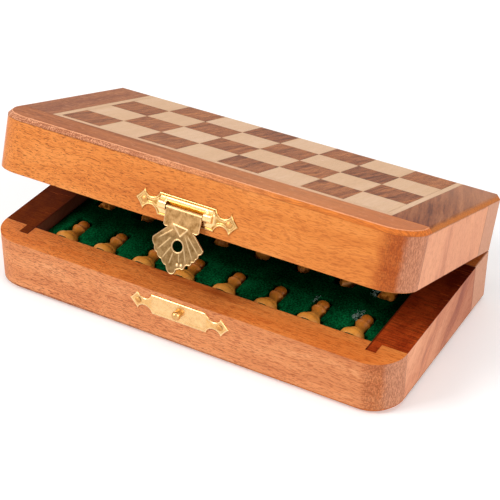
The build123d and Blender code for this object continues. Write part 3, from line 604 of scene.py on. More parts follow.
def manShape(kind):
    stem, foot = men["stem"], ranks[kind]["foot"]
    if kind == "pawns":
        base = [(0, 0, 1), (0, foot - 0.9, 1), (0.2, foot - 0.66, 1), (1.4, foot - 0.1), (2.3, foot), (3.0, foot - 0.2),
                (3.7, foot - 0.7), (4.2, foot - 1.2, 1), (4.4, foot - 1.6, 1), (5.2, foot - 1.5), (6.2, foot - 2.0)]
        neck = [(7.1, stem + 0.5), (8.1, stem + 0.1), (9.3, stem - 0.05), (10.1, stem + 0.1)]
        collar = [(11.0, stem + 0.55, 1), (11.1, stem + 0.85, 1), (11.45, stem + 0.95), (11.8, stem + 0.85, 1),
                  (11.95, 1.8, 1), (12.35, 1.75, 1)]
        return turned(smoothLine(base + neck + collar + ballKnots(14.68, 2.72, -46)))
    if kind == "knights":
        verts, faces = turned(smoothLine(footKnots(foot)[:-1] + [(7.4, stem, 1), (7.4, 0, 1)]))
        head, headFaces = horseHead()
        return verts + head, faces + [tuple(i + len(verts) for i in face) for face in headFaces]
    upper, ball, count, shapeOf = {
        "rooks": ([(9.8, stem), (11.2, stem + 0.5), (12.5, stem + 0.3), (12.75, stem + 0.02, 1), (14.1, stem + 0.3),
                   (15.3, 3.25), (15.5, 3.5, 1), (15.9, 3.55), (18.8, 3.5), (19.0, 3.38, 1), (19.0, 2.5, 1),
                   (18.9, 2.4, 1), (17.8, 2.3, 1), (17.8, 0, 1)], None, 48, rookNotch),
        "bishops": ([(10.9, stem), (12.3, stem + 0.5), (13.5, stem + 0.3), (13.8, stem - 0.15, 1), (15.2, 2.75),
                     (16.8, 3.0), (18.2, 2.5), (19.3, 1.5), (19.9, 0.55, 1)], 20.7, 64, bishopSlit),
        "queen": ([(12.2, stem), (13.7, stem + 0.5), (15.0, stem + 0.3), (15.3, stem, 1), (17.5, 2.35), (19.6, 2.95),
                   (21.4, 3.7, 1), (21.75, 3.55, 1), (21.4, 2.8, 1), (22.0, 1.6), (22.3, 0.5, 1)], 23.1, 64, coronet),
        "king": ([(13.4, stem), (14.9, stem + 0.5), (16.2, stem + 0.3), (16.5, stem, 1), (18.6, 2.4), (20.6, 3.0),
                  (22.0, 3.6, 1), (22.3, 3.45), (22.8, 2.6), (23.1, 1.3), (23.2, 0, 1)], None, 44, None),
    }[kind]
    top = ballKnots(ball, 0.9, -50) if ball else []
    verts, faces = turned(smoothLine(footKnots(foot) + upper + top), count, shapeOf)
    if kind == "king":
        crossOnTop(verts, faces)
    return verts, faces


def feltShape(radius):
    # a cut disc of felt, its edge a little uneven
    def frayed(height, r, angle):
        return height, r * (1 + 0.012 * sin(9 * angle + 3 * height) + 0.01 * sin(23 * angle)) if r > 1 else r
    t = men["feltThick"]
    return turned([(0, 0), (0, radius - 0.1), (-0.08, radius), (0.08 - t, radius), (-t, radius - 0.1), (-t, 0)],
                  48, frayed)


def rowTree():
    # instances of the piece itself along a row of pockets
    tree, given = groupTree("rowOfMen", {"Man": "Geometry", "Count": "Int", "First file": "Vector",
                                         "Spacing": "Vector", "Finish": "Material"}, "Row")
    files = addNode(tree, "GeometryNodeMeshLine", {}, {"Count": given["Count"], "Start Location": given["First file"],
                                                      "Offset": given["Spacing"]}).outputs[0]
    row = addNode(tree, "GeometryNodeInstanceOnPoints", {}, {"Points": files, "Instance": given["Man"]}).outputs[0]
    solid = addNode(tree, "GeometryNodeRealizeInstances", {}, {"Geometry": row}).outputs[0]
    done = addNode(tree, "GeometryNodeSetMaterial", {}, {"Geometry": solid, "Material": given["Finish"]}).outputs[0]
    addNode(tree, "NodeGroupOutput", {}, {"Row": done})
    return tree


rowOfMen = rowTree()


def layInRow(piece, files, spacing):
    # repeat the piece at evenly spaced files
    bake(piece, rowOfMen, {"Count": files[1], "First file": (files[0] * mm, 0, 0), "Spacing": (spacing * mm, 0, 0),
                           "Finish": piece.data.materials[0]})


def lying(kind):
    # which way the head points along y, and where the foot ends
    if kind == "pawns":
        return 1, men["pawnFootY"]
    return -1, men["officerTipY"] + ranks[kind]["height"]


def inTray(points, tray):
    # from the base to the same place in the tray asked for, mirrored and swung open for the lid
    if tray == "base":
        return points
    return [swing((x, y, shutBox["shutHeight"] - z)) for x, y, z in points]


def laid(points, kind):
    # from standing to lying along the base: the axis at the height its foot gives it
    towards, footY = lying(kind)
    axis = shutBox["trayHeight"] - men["belowRim"] - ranks[kind]["foot"]
    return [(x, footY + towards * height, axis + towards * -y) for x, y, height in points]


boxwood = dict(railWood, seed=61.0, grain=alongY, band=(20.0, 4.0), poreDark=0.0, fleckDark=0.12, roughness=0.42,
               fibreShare=0.25, contrast=0.4, polish=0.35,
               colours=threeTones("#CE8230", "#F0A040", "#FAB452"), zones=[
                   # painted shade: the pawns' heads and the officers, further in under the lid, are darker
                   tint(1, -25.0, -14.0, "#CCB084", along=(1, -5.0, -9.0), blend="MULTIPLY"),
                   tint(1, -9.0, -4.0, "#C6AA7C", blend="MULTIPLY", amount=0.7)])
stainedWood = dict(boxwood, seed=67.0, zones=[], colours=threeTones("#4A2216", "#5E2E1E", "#6E3A26"))
material, tree = newMaterial("green_felt")
feltMaterial = finishMaterial(material, addNode(tree, "ShaderNodeBsdfPrincipled", {
    "Base Color": linear("#0B4A22"), "Roughness": 0.95, "Specular IOR Level": 0.1}))

for tray, wood, slot in (("base", boxwood, "boxwood"), ("lid", stainedWood, "stained_boxwood")):
    material = timber("boxwood_men", tray, wood)
    felts = []
    for kind, rank in ranks.items():
        files = (men["firstFile"] + rank["first"] * men["filePitch"], rank["count"])
        for part, (verts, faces) in (("men", manShape(kind)), ("felt", feltShape(rank["foot"] - men["feltInset"]))):
            verts = inTray(laid(verts, kind), tray)
            name = tray + ("_turned_" + kind if part == "men" else "_felt_" + kind)
            piece = newObject(name, verts, faces, material if part == "men" else feltMaterial, 40.0)
            layInRow(piece, files, rank["apart"] * men["filePitch"])
            if part == "men":
                settle(piece, tray, [tray + "_" + kind])
            else:
                felts.append(piece)
    bpy.ops.object.select_all(action="DESELECT")
    for piece in felts:
        piece.select_set(True)
    bpy.context.view_layer.objects.active = felts[0]
    bpy.ops.object.join()
    felts[0].name = tray + "_felt_discs"
    settle(felts[0], tray, [tray + "_felts"])
print("chessmen done")

# Velvet-covered foam with a keyhole pocket for every man

velvet = {"cell": 0.4, "top": 17.9, "bottom": 5.0, "halfX": 74.5, "halfY": 31.3, "shoulder": 0.9, "headRoom": 0.5,
          "fit": 0.15, "edgeRound": 1.6, "waver": 0.12, "mouthWaver": 0.12, "wall": 0.6, "footLong": 5.9,
          "corners": (0.7, 1.5), "paintedShade": (-24.0, -2.0),
          # to the metre: real tufts are too fine to show, so they are drawn 0.7 mm apart
          "tufts": 1500.0, "patches": 110.0}
backRank = ("rooks", "knights", "bishops", "queen", "king", "bishops", "knights", "rooks")


def roundedBox(x, y, box):
    # signed distance to a rectangle with rounded corners: (middle x, middle y, half x, half y, corner)
    qx, qy = abs(x - box[0]) - box[2] + box[4], abs(y - box[1]) - box[3] + box[4]
    return sqrt(max(qx, 0) ** 2 + max(qy, 0) ** 2) + min(max(qx, qy), 0) - box[4]


def pocketBoxes(kind, file):
    # the wide box round the foot, the narrow one round the whole man, and the pocket's floor
    x, radius = men["firstFile"] + file * men["filePitch"], ranks[kind]["foot"]
    towards, footY = lying(kind)
    behind = men["feltThick"] + velvet["fit"]
    end = footY - towards * behind
    short, long = velvet["footLong"] + men["feltThick"], ranks[kind]["height"] + behind + velvet["headRoom"]
    sharp, blunt = velvet["corners"]
    return ((x, end + towards * short / 2, radius + velvet["fit"], short / 2, sharp),
            (x, end + towards * long / 2, ranks[kind]["head"] + velvet["headRoom"], long / 2, blunt),
            shutBox["trayHeight"] - men["belowRim"] - 2 * radius)


pockets = [(pocketBoxes("pawns", file), pocketBoxes(backRank[file], file)) for file in range(8)]


def velvetHeight(x, y):
    file = min(7, max(0, int((x - men["firstFile"]) / men["filePitch"] + 0.5)))
    edge = min(velvet["halfX"] - abs(x), velvet["halfY"] - abs(y))
    top = velvet["top"] + velvet["waver"] * noise.noise(Vector((x / 7, y / 7, 3.0)))
    top -= velvet["edgeRound"] * (1 - sqrt(max(0.0, 1 - max(0.0, 1 - edge / velvet["edgeRound"]) ** 2)))
    for foot, head, floor in pockets[file]:
        out = min(roundedBox(x, y, foot), roundedBox(x, y, head))
        out += velvet["mouthWaver"] * noise.noise(Vector((x / 2.5, y / 2.5, 9.0)))
        if out < velvet["shoulder"]:
            rise = max(0.0, 1 - max(out, 0.0) / velvet["shoulder"])
            edgeTop = top - velvet["shoulder"] * (1 - sqrt(max(0.0, 1 - rise * rise)))
            top = edgeTop if out > 0 else floor + (edgeTop - floor) * step(out, -velvet["wall"], 0.0)
    return top


def velvetShape():
    across = round(2 * velvet["halfX"] / velvet["cell"])
    deep = round(2 * velvet["halfY"] / velvet["cell"])
    verts = []
    for row in range(deep + 1):
        y = -velvet["halfY"] + 2 * velvet["halfY"] * row / deep
        for column in range(across + 1):
            x = -velvet["halfX"] + 2 * velvet["halfX"] * column / across
            verts.append((x, y, velvetHeight(x, y)))
    wide = across + 1
    faces = [(r * wide + c, r * wide + c + 1, (r + 1) * wide + c + 1, (r + 1) * wide + c)
             for r in range(deep) for c in range(across)]
    rim = list(range(wide)) + [r * wide + across for r in range(1, deep + 1)] + \
        [deep * wide + c for c in range(across - 1, -1, -1)] + [r * wide for r in range(deep - 1, 0, -1)]
    first = len(verts)
    verts += [(verts[i][0], verts[i][1], velvet["bottom"]) for i in rim]
    faces += [(rim[(i + 1) % len(rim)], rim[i], first + i, first + (i + 1) % len(rim)) for i in range(len(rim))]
    faces.append(tuple(reversed(range(first, first + len(rim)))))
    return verts, faces


verts, faces = velvetShape()
for tray in ("base", "lid"):
    material, tree = newMaterial("green_velvet_" + tray)
    # short pile: dark between the tufts, brushed a little lighter in patches
    place = addNode(tree, "ShaderNodeTexCoord").outputs["Object"]
    tufts = addNode(tree, "ShaderNodeTexNoise", {"Scale": velvet["tufts"], "Detail": 2.0},
                    {"Vector": place}).outputs["Fac"]
    patches = addNode(tree, "ShaderNodeTexNoise", {"Scale": velvet["patches"], "Detail": 3.0},
                      {"Vector": place}).outputs["Fac"]
    pile = addNode(tree, "ShaderNodeMath", {"operation": "MULTIPLY_ADD", 1: 0.6}, {0: patches, 2: tufts}).outputs[0]
    green = addNode(tree, "ShaderNodeValToRGB", {"stops": [(0.6, "#012511"), (0.8, "#045029"), (1.0, "#0C7B43")]},
                    {"Fac": pile}).outputs[0]
    # painted shade: the velvet darkens away from the front edge
    depth = addNode(tree, "ShaderNodeSeparateXYZ", {}, {0: trayCoordinates(tree, tray)}).outputs[1]
    green, _ = stained(tree, green, "#808080", "MULTIPLY", 1.0, [(depth, *velvet["paintedShade"])])
    bump = addNode(tree, "ShaderNodeBump", {"Strength": 0.5, "Distance": 0.0003}, {"Height": tufts}).outputs[0]
    shader = addNode(tree, "ShaderNodeBsdfPrincipled", {"Roughness": 0.95, "Specular IOR Level": 0.0,
                                                        "Sheen Weight": 0.12, "Sheen Tint": linear("#0C5A2C")},
                     {"Base Color": green, "Normal": bump})
    finishMaterial(material, shader)
    turnedOver = faces if tray == "base" else [tuple(reversed(face)) for face in faces]
    piece = newPiece(tray + "_velvet", inTray(verts, tray), turnedOver, material, tray, [tray + "_velvet_insert"],
                     60.0)
print("velvet done")

# Loose backing threads where the pocket knife has frayed the velvet

fray = {"thread": 0.07, "long": (0.5, 1.5), "perSquareMetre": 5.0e6, "seed": 4, "tangles": [
    # middle x, y and z, half x, half y
    (42.5, -12.9, 18.0, 0.6, 1.7), (60.9, -13.9, 18.0, 1.2, 3.3), (60.6, 3.0, 18.0, 1.0, 2.8)]}


def frayTree():
    # threads: short bent tubes scattered over a patch, lying every way
    tree, given = groupTree("frayedThreads", {
        "Patch": "Geometry", "Threads": "Float", "Thickness": "Float", "Shortest": "Float", "Longest": "Float",
        "Seed": "Int", "Finish": "Material"}, "Tangle")
    points = addNode(tree, "GeometryNodeDistributePointsOnFaces", {}, {
        "Mesh": given["Patch"], "Density": given["Threads"], "Seed": given["Seed"]}).outputs["Points"]
    bend = addNode(tree, "GeometryNodeCurvePrimitiveBezierSegment", {
        "Resolution": 5, "Start": (0, 0, 0), "Start Handle": (0.3, 0.25, 0.1), "End Handle": (0.7, -0.25, 0.25),
        "End": (1, 0, 0.1)}).outputs[0]
    lengths = addNode(tree, "FunctionNodeRandomValue", {"data_type": "FLOAT"}, {
        2: given["Shortest"], 3: given["Longest"], "Seed": given["Seed"]}).outputs[1]
    turns = addNode(tree, "FunctionNodeRandomValue", {"data_type": "FLOAT_VECTOR", 0: (-0.5, -0.9, 0.0),
                                                      1: (0.5, 0.2, 6.283)}, {"Seed": given["Seed"]}).outputs[0]
    placed = addNode(tree, "GeometryNodeInstanceOnPoints", {}, {
        "Points": points, "Instance": bend, "Rotation": turns, "Scale": lengths}).outputs[0]
    loose = addNode(tree, "GeometryNodeRealizeInstances", {}, {"Geometry": placed}).outputs[0]
    section = addNode(tree, "GeometryNodeCurvePrimitiveCircle", {"Resolution": 4}, {"Radius": given["Thickness"]})
    tubes = addNode(tree, "GeometryNodeCurveToMesh", {"Fill Caps": True},
                    {"Curve": loose, "Profile Curve": section.outputs[0]})
    done = addNode(tree, "GeometryNodeSetMaterial", {}, {"Geometry": tubes.outputs[0], "Material": given["Finish"]})
    addNode(tree, "NodeGroupOutput", {}, {"Tangle": done.outputs[0]})
    return tree


material, tree = newMaterial("velvet_backing_thread")
place = addNode(tree, "ShaderNodeTexCoord").outputs["Object"]
patchy = addNode(tree, "ShaderNodeTexNoise", {"Scale": 900.0}, {"Vector": place}).outputs["Fac"]
threadColour = addNode(tree, "ShaderNodeValToRGB", {"stops": [(0.35, "#2C5C48"), (0.6, "#B8CFC8")]}, {"Fac": patchy})
threadFinish = finishMaterial(material, addNode(tree, "ShaderNodeBsdfPrincipled", {"Roughness": 0.8},
                                                {"Base Color": threadColour.outputs[0]}))
verts, faces = [], []
for x, y, z, halfX, halfY in fray["tangles"]:
    first = len(verts)
    verts += [(x + sx * halfX, y + sy * halfY, z) for sx, sy in ((-1, -1), (1, -1), (1, 1), (-1, 1))]
    faces.append((first, first + 1, first + 2, first + 3))
piece = newObject("frayed_threads", verts, faces, threadFinish)
bake(piece, frayTree(), {"Threads": fray["perSquareMetre"], "Thickness": fray["thread"] / 2 * mm,
                         "Shortest": fray["long"][0] * mm, "Longest": fray["long"][1] * mm,
                         "Seed": fray["seed"], "Finish": threadFinish})
tidyMesh(piece.data, 60.0)
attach(piece, "base")
print("frayed threads done")

# Brass: pressed plates, brushed flap, turned stud

fanTone = {"from": 0.0535, "to": 0.0490}  # heights in metres


def brass(name, dark, plain, bright, roughness, brush, marks, fan=None):
    # lacquered pressed brass: a faint mottle, 2.4 mm across, and brush marks along the sheet; it is
    # polished where the relief stands proud and dull in the hollows
    material, tree = newMaterial(name)
    place = addNode(tree, "ShaderNodeTexCoord").outputs["Object"]
    cloud = addNode(tree, "ShaderNodeTexNoise", {"Scale": 420.0, "Detail": 5.0, "Roughness": 0.6},
                    {"Vector": place}).outputs["Fac"]
    brushed = drawnNoise(tree, place, {"Scale": brush}, Detail=3.0)
    tarnish = addNode(tree, "ShaderNodeMath", {"operation": "MULTIPLY_ADD", 1: marks}, {0: brushed, 2: cloud})
    low = 0.3 + 0.5 * marks
    colour = addNode(tree, "ShaderNodeValToRGB", {"stops": [(low, dark), (low + 0.4, plain)]},
                     {"Fac": tarnish.outputs[0]}).outputs[0]
    if fan:  # the flap's fan is darker than its tab
        height = addNode(tree, "ShaderNodeSeparateXYZ", {}, {0: place}).outputs[2]
        below = addNode(tree, "ShaderNodeMapRange", {"From Min": fanTone["from"], "From Max": fanTone["to"]},
                        {"Value": height}).outputs[0]
        colour = addNode(tree, "ShaderNodeMix", {"data_type": "RGBA", "blend_type": "MULTIPLY", 7: linear(fan)},
                         {0: below, 6: colour}).outputs[2]
    proud = addNode(tree, "ShaderNodeAttribute", {"attribute_name": "proud"}).outputs["Fac"]
    colour = addNode(tree, "ShaderNodeMix", {"data_type": "RGBA", 7: linear(bright)}, {0: proud, 6: colour}).outputs[2]
    rough = addNode(tree, "ShaderNodeMapRange", {"To Min": roughness - 0.08, "To Max": roughness + 0.12},
                    {"Value": brushed}).outputs[0]
    bump = addNode(tree, "ShaderNodeBump", {"Strength": marks, "Distance": 0.00006}, {"Height": brushed}).outputs[0]
    shader = addNode(tree, "ShaderNodeBsdfPrincipled", {"Metallic": 1.0},
                     {"Base Color": colour, "Roughness": rough, "Normal": bump})
    return finishMaterial(material, shader)


# three tones, roughness, brush marks to the metre along x, y and z, their depth, and the fan's tint
finish = {name: brass(name, *look) for name, look in {
    "lacquered_brass": ("#A87A3C", "#CC944A", "#F4CC90", 0.26, (900, 900, 2500), 0.15),
    "catch_brass": ("#D6A462", "#F2C888", "#FDE6B8", 0.26, (900, 900, 2500), 0.15),
    "brushed_brass": ("#8E6536", "#CFA26C", "#EBC694", 0.38, (4000, 700, 700), 0.4, "#CCD0D2"),
    "nail_brass": ("#BC8448", "#E0A664", "#F6D898", 0.42, (900, 900, 900), 0.3),
    "stud_brass": ("#C8965A", "#DCB074", "#F2CF94", 0.24, (900, 900, 900), 0.03),
    "axle_brass": ("#B46C14", "#E09A2C", "#F2CF84", 0.3, (400, 3000, 3000), 0.2),
    "pin_steel": ("#8C8C8A", "#BCBCB8", "#D8D8D4", 0.3, (400, 3000, 3000), 0.2),
}.items()}

plate = {
    "middleX": 0.8, "lidZ": 29.4, "baseZ": 16.3, "body": 12.1, "halfHeight": 4.5, "waist": 1.7, "leafX": 18.4,
    "leafZ": 4.3, "tip": 21.9, "hollow": 0.2, "sheet": 0.36, "stud": 1.62, "window": (-8.0, 8.0, -1.45, 2.05),
    "ridgeUp": 0.35, "ridgeHalf": 1.8, "ridgeHigh": 1.95, "ridgeEnd": 12.0,
    # height, then where over the distance to the edge: bead, field, groove, bead of the leaves
    "lidForm": ((0.24, 0.42, 0.2), (0.3, 1.05, 1.4), (-0.12, 0.95, 0.16), (0.16, 1.15, 0.25)),
    "baseForm": ((0.16, 0.36, 0.17), (0.06, 1.2, 1.6), (0.1, 0.95, 0.15), (0.0, 1.15, 0.25)),
}


def plateOutline():
    corners = [(-plate["body"], plate["halfHeight"])]
    for side in (1, -1):
        body, leaf, tip = side * plate["body"], side * plate["leafX"], side * plate["tip"]
        neck, hollowX = (body + leaf) / 2, (leaf + tip) / 2 - side * plate["hollow"]
        high, leafHigh, hollowZ = plate["halfHeight"], plate["leafZ"], plate["leafZ"] / 2 - plate["hollow"]
        corners += [(body, side * high), ((neck, side * plate["waist"]), (leaf, side * leafHigh)),
                    ((hollowX, side * hollowZ), (tip, 0)), ((hollowX, -side * hollowZ), (leaf, -side * leafHigh)),
                    ((neck, -side * plate["waist"]), (body, -side * high))]
    return outlinePoints(corners[1:], 0.22)


def circle(radius, spacing):  # about the origin
    count = max(12, round(2 * pi * radius / spacing))
    return [Vector((radius * cos(2 * pi * i / count), radius * sin(2 * pi * i / count))) for i in range(count)]


def rolledEdge(gap):  # the sheet's edge turns down over its last 0.2 mm
    return -0.2 * max(0.0, 1 - gap / 0.2) ** 2


def pressed(x, gap, form):
    # bead round the edge, then a groove and a raised field in the body, a second bead in the leaves
    (bead, field, groove, leafBead), inBody = form, step(13.0 - abs(x), 0, 1.4)
    height = plate["sheet"] + bead[0] * bell(gap, *bead[1:]) + rolledEdge(gap)
    height += inBody * (field[0] * step(gap, *field[1:]) + groove[0] * bell(gap, *groove[1:]))
    return height + (1 - inBody) * leafBead[0] * bell(gap, *leafBead[1:])


def lidPlateTop(x, z, gap, holeGap):
    height = pressed(x, gap, plate["lidForm"])
    across = (z - plate["ridgeUp"]) / plate["ridgeHalf"]
    if abs(across) < 1:
        share = step(plate["ridgeEnd"] - abs(x), 0, 0.9)
        height = max(height, plate["sheet"] + share * plate["ridgeHigh"] * (1 - across ** 4) ** 0.6)
    return height + 0.02 * noise.noise(Vector((x * 1.3, z * 1.3, 0.0)))


def catchPlateTop(x, z, gap, holeGap):
    return pressed(x, gap, plate["baseForm"]) + 0.02 * noise.noise(Vector((x * 1.3, z * 1.3, 7.0)))


def plateWorn(top):
    # how proud of its surroundings the relief stands
    return lambda x, z, gap, holeGap: min(1.0, max(0.0, (top(x, z, gap, holeGap) - plate["sheet"]) / 0.26))


def rectangle(left, right, low, high, spacing):
    return outlinePoints([(left, low), (right, low), (right, high), (left, high)], spacing)


def onFront(points, z0):
    # from (x, z, height) on the front face to the shut box
    return [(plate["middleX"] + x, -shutBox["depth"] / 2 - h, z0 + z) for x, z, h in points]


left, right, low, high = plate["window"]
windowLoop = rectangle(left, right, low, high, 0.3)
studLoop = circle(plate["stud"], 0.25)
for name, top, hole, z0, body in (("clasp_plate", lidPlateTop, windowLoop, plate["lidZ"], "lid"),
                                  ("catch_plate", catchPlateTop, studLoop, plate["baseZ"], "base")):
    verts, faces, proud = reliefShape([plateOutline(), hole], top, lambda *a: max(0.0, top(*a) - plate["sheet"]),
                                      0.24, [0.1, 0.22, 0.34, 0.46, 0.6, 0.8, 1.0, 1.25], plateWorn(top))
    verts = onFront(verts, z0)
    if body == "lid":
        verts = [swing(v) for v in verts]
    look = finish["lacquered_brass" if body == "lid" else "catch_brass"]
    newPiece("pressed_" + name, verts, faces, look, body, [name], 50.0, proud)
print("plates done")

flap = {
    "pin": Vector((0, -45.8, 29.4)), "open": 3.0, "tabHalf": 7.7, "top": 13.1, "hole": 2.15, "rollOut": 1.0,
    "rollIn": 0.56, "rollSlack": 0.06, "rollFrom": -4, "rollSweep": 300, "back": -46.3, "sheet": 0.34, "level": 0.22,
    # right side from the tab down, measured from the middle of the hole: (bulge, end) pairs are arcs
    "right": [(7.7, 7.5), ((7.4, 6.6), (5.6, 6.3)), (10.7, 1.2), ((10.4, 0.1), (9.2, -0.9)), ((9.0, -2.2), (8.3, -2.9)),
              ((7.9, -3.9), (7.0, -4.3)), ((6.7, -5.4), (5.9, -5.9)), ((4.9, -6.1), (4.4, -6.9)),
              ((3.9, -7.9), (2.6, -8.0))],
    "left": [((-0.2, -10.9), (-2.4, -10.3)), ((-3.1, -9.4), (-3.5, -8.4)), ((-4.8, -7.8), (-5.8, -6.5)),
             ((-7.1, -6.0), (-8.0, -4.7)), ((-9.2, -3.9), (-9.7, -2.2)), ((-10.8, -0.8), (-10.9, 1.0)), (-5.8, 6.1),
             ((-7.4, 6.5), (-7.7, 7.4))],
    "notch": (1.0, -8.9), "triangle": [(-3.3, 7.6), (2.9, 7.0), (0.3, 3.8)], "beads": [(1.2, -6.9), (2.9, -6.7)],
    "flutes": [((-3.0, 5.6), (-8.6, 1.0)), ((-3.4, 2.4), (-8.0, -3.2)), ((-2.6, -0.9), (-5.5, -5.9)),
               ((-1.4, -3.0), (-2.3, -7.4)), ((1.1, -2.6), (1.7, -6.0)), ((2.5, 0.4), (4.4, -5.0)),
               ((2.6, 3.8), (7.0, -3.2)), ((3.4, 4.7), (8.8, -0.6))],
}


def fromSegment(x, z, start, end):
    # distance to a segment and how far along it, 0 to 1
    a, b, p = Vector(start), Vector(end), Vector((x, z))
    share = min(1.0, max(0.0, (p - a).dot(b - a) / (b - a).length_squared))
    return (p - a.lerp(b, share)).length, share


def flapRelief(x, z, gap, holeGap):
    height = 0.16 * bell(gap, 0.24, 0.15) * step(12.6 - z, 0, 1.0)
    height = max(height, 0.2 * bell(holeGap, 0.3, 0.2))
    for start, end in flap["flutes"]:
        away, share = fromSegment(x, z, start, end)
        height = max(height, 0.16 * bell(away, 0, 0.2) * min(1.0, 5 * share + 0.3, 4 * (1 - share) + 0.2))
    corners = flap["triangle"]
    for start, end in zip(corners, corners[1:] + corners[:1]):
        height = max(height, 0.22 * bell(fromSegment(x, z, start, end)[0], 0, 0.24))
    for bx, bz in flap["beads"]:
        height = max(height, 0.34 * bell(sqrt((x - bx) ** 2 + (z - bz) ** 2), 0, 0.5))
    return height


def flapTop(x, z, gap, holeGap):
    # the fan dishes a little between its flutes and its edge turns down
    fan = step(6.0 - z, 0, 3.0)
    dish = 0.05 * fan * noise.noise(Vector((x * 0.5, z * 0.5, 2.0)))
    return flap["level"] + dish + flapRelief(x, z, gap, holeGap) + 0.8 * rolledEdge(gap) * step(12.9 - z, 0, 0.3)


def flapBack(x, z, gap, holeGap):
    # the tab's top leaves the pin the same room as the roll does
    below = flap["pin"].z - plate["baseZ"] - z
    room = sqrt(max(0.0, flap["rollIn"] ** 2 - below ** 2)) + flap["back"] - flap["pin"].y
    return max(flapTop(x, z, gap, holeGap) - flap["sheet"], room)


flapOutline = outlinePoints([(-flap["tabHalf"], flap["top"]), (flap["tabHalf"], flap["top"])] + flap["right"]
                            + [flap["notch"]] + flap["left"], 0.22)
verts, faces, proud = reliefShape([flapOutline, circle(flap["hole"], 0.22)], flapTop, flapBack, 0.22,
                                  [0.1, 0.2, 0.32, 0.46], lambda *a: min(1.0, flapRelief(*a) / 0.24))
verts = [(plate["middleX"] + x, flap["back"] - h, plate["baseZ"] + z) for x, z, h in verts]
rollStart, rollSteps, rollFiles = len(verts), 30, 12
for across in range(rollFiles + 1):  # the knuckle rolled round the pin
    x = plate["middleX"] + flap["tabHalf"] * (2 * across / rollFiles - 1)
    for radius in (flap["rollOut"] - flap["rollSlack"], flap["rollIn"]):
        for turn in range(rollSteps + 1):
            angle = radians(flap["rollFrom"] + flap["rollSweep"] * turn / rollSteps)
            verts.append((x, flap["pin"].y - radius * cos(angle), flap["pin"].z + radius * sin(angle)))
ring = 2 * (rollSteps + 1)
loop = list(range(rollSteps + 1)) + list(range(ring - 1, rollSteps, -1))
for across in range(rollFiles):
    first = rollStart + across * ring
    faces += [(first + a, first + b, first + ring + b, first + ring + a) for a, b in zip(loop, loop[1:] + loop[:1])]
for end in (0, rollFiles):
    first, inner = rollStart + end * ring, rollStart + end * ring + rollSteps + 1
    faces += [(first + i, first + i + 1, inner + i + 1, inner + i) for i in range(rollSteps)]
proud += [0.35] * (len(verts) - rollStart)
verts = [swing(swing(v, flap["open"], flap["pin"])) for v in verts]
newPiece("fan_flap", verts, faces, finish["brushed_brass"], "clasp", ["clasp_flap"], 50.0, proud)

leaves = ["hinge_%s_%s_leaf" % (side, tray) for side in ("left", "right") for tray in ("base", "lid")]
setMaterial(["clasp_plate_nails", "catch_plate_nails"], finish["nail_brass"])
setMaterial(["catch_stud"], finish["stud_brass"])
setMaterial(["base_hinge_screws", "lid_hinge_screws"] + leaves, finish["lacquered_brass"])
setMaterial(["hinge_left_pin", "hinge_right_pin"], finish["pin_steel"])
# the clasp's pin ends inside the plate's ridge
verts, faces = turned([(-11.2, 0), (-11.2, 0.42), (-11.12, 0.5), (11.12, 0.5), (11.2, 0.42), (11.2, 0)], 20)
verts = [(plate["middleX"] + h, flap["pin"].y + x, flap["pin"].z + y) for x, y, h in verts]
# brass strip at the bottom of the ridge, seen through its window
strip, stripFaces, _ = reliefShape([rectangle(left + 0.1, right - 0.1, low + 0.1, high - 0.1, 0.4)],
                                   lambda x, z, gap, holeGap: 0.3 + rolledEdge(gap), lambda *a: 0.05, 0.5, [0.1, 0.25])
faces += [tuple(i + len(verts) for i in face) for face in stripFaces]
verts = [swing(v) for v in verts + onFront(strip, plate["lidZ"])]
newPiece("clasp_axle", verts, faces, finish["axle_brass"], "lid", ["clasp_pin"])
print("brass done")

# Floor, light and camera


def seenShare(tree, *rays):
    # 1 where the surface is seen by one of these kinds of ray, 0 where it only lights the rest
    path = addNode(tree, "ShaderNodeLightPath").outputs
    share = path["Is Camera Ray"]
    for ray in rays:
        share = addNode(tree, "ShaderNodeMath", {"operation": "MAXIMUM"}, {0: share, 1: path[ray]}).outputs[0]
    return share


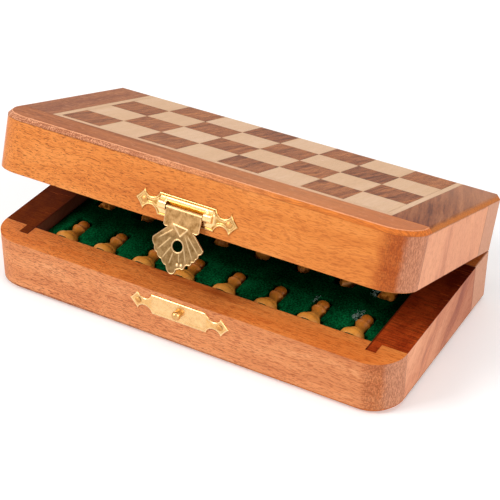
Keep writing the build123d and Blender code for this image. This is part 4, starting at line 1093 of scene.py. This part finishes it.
# half its width in mm; between near and far, in metres, its own glow rises from lift to farLift
floorLook = {"half": 3000.0, "colour": "#F4F4F4", "lift": 0.18, "farLift": 0.8, "near": 0.1, "far": 0.7}
half = floorLook["half"]
material, tree = newMaterial("pale_floor")
floor = newObject("floor", [(-half, -half, 0), (half, -half, 0), (half, half, 0), (-half, half, 0)],
                  [(0, 1, 2, 3)], material)
paper = addNode(tree, "ShaderNodeBsdfDiffuse", {"Color": linear(floorLook["colour"])})
place = addNode(tree, "ShaderNodeTexCoord").outputs["Object"]
away = addNode(tree, "ShaderNodeVectorMath", {"operation": "LENGTH"}, {0: place}).outputs["Value"]
clear = addNode(tree, "ShaderNodeMapRange", {
    "interpolation_type": "SMOOTHSTEP", "From Min": floorLook["near"], "From Max": floorLook["far"],
    "To Min": floorLook["lift"], "To Max": floorLook["farLift"]}, {"Value": away})
lift = addNode(tree, "ShaderNodeMath", {"operation": "MULTIPLY"},
               {0: seenShare(tree, "Is Glossy Ray"), 1: clear.outputs[0]})
glow = addNode(tree, "ShaderNodeEmission", {}, {"Strength": lift.outputs[0]})
finishMaterial(material, addNode(tree, "ShaderNodeAddShader", {}, {0: paper.outputs[0], 1: glow.outputs[0]}))

studio = {"worldDiffuse": 0.31, "worldSeen": 1.0}
world = bpy.data.worlds.new("studio")
bpy.context.scene.world = world
world.use_nodes = True
tree = world.node_tree
tree.nodes.clear()
seen = seenShare(tree, "Is Glossy Ray", "Is Transmission Ray")
strength = addNode(tree, "ShaderNodeMapRange", {"To Min": studio["worldDiffuse"], "To Max": studio["worldSeen"]},
                   {"Value": seen}).outputs[0]
sky = addNode(tree, "ShaderNodeBackground", {"Color": (1, 1, 1, 1)}, {"Strength": strength})
addNode(tree, "ShaderNodeOutputWorld", {}, {"Surface": sky.outputs[0]})

lampAim = Vector((0, 0, 0.03))
lamps = {  # place in metres, size, watts
    "softboxLeft": ((-0.75, -0.75, 0.85), 0.6, 10.0),
    "softboxRight": ((1.0, -0.25, 0.55), 0.6, 5.6),
    "softboxTop": ((0.0, 0.1, 1.2), 0.8, 4.2),
}
for name, (place, size, watts) in lamps.items():
    light = bpy.data.lights.new(name, "AREA")
    light.size = size
    light.energy = watts
    lamp = bpy.data.objects.new(name, light)
    lamp.location = place
    lamp.rotation_euler = (lampAim - Vector(place)).to_track_quat("-Z", "Y").to_euler()
    bpy.context.collection.objects.link(lamp)

view = {"focal": 108.54, "sensor": 36.0, "place": (0.24878, -0.43067, 0.35347), "turn": (56.0705, -0.4023, 29.6521)}
lens = bpy.data.cameras.new("camera")
lens.lens = view["focal"]
lens.sensor_width = view["sensor"]
camera = bpy.data.objects.new("camera", lens)
camera.location = view["place"]
camera.rotation_euler = [radians(a) for a in view["turn"]]
bpy.context.collection.objects.link(camera)
bpy.context.scene.camera = camera
bpy.context.scene.view_settings.view_transform = "Standard"
print("studio done")
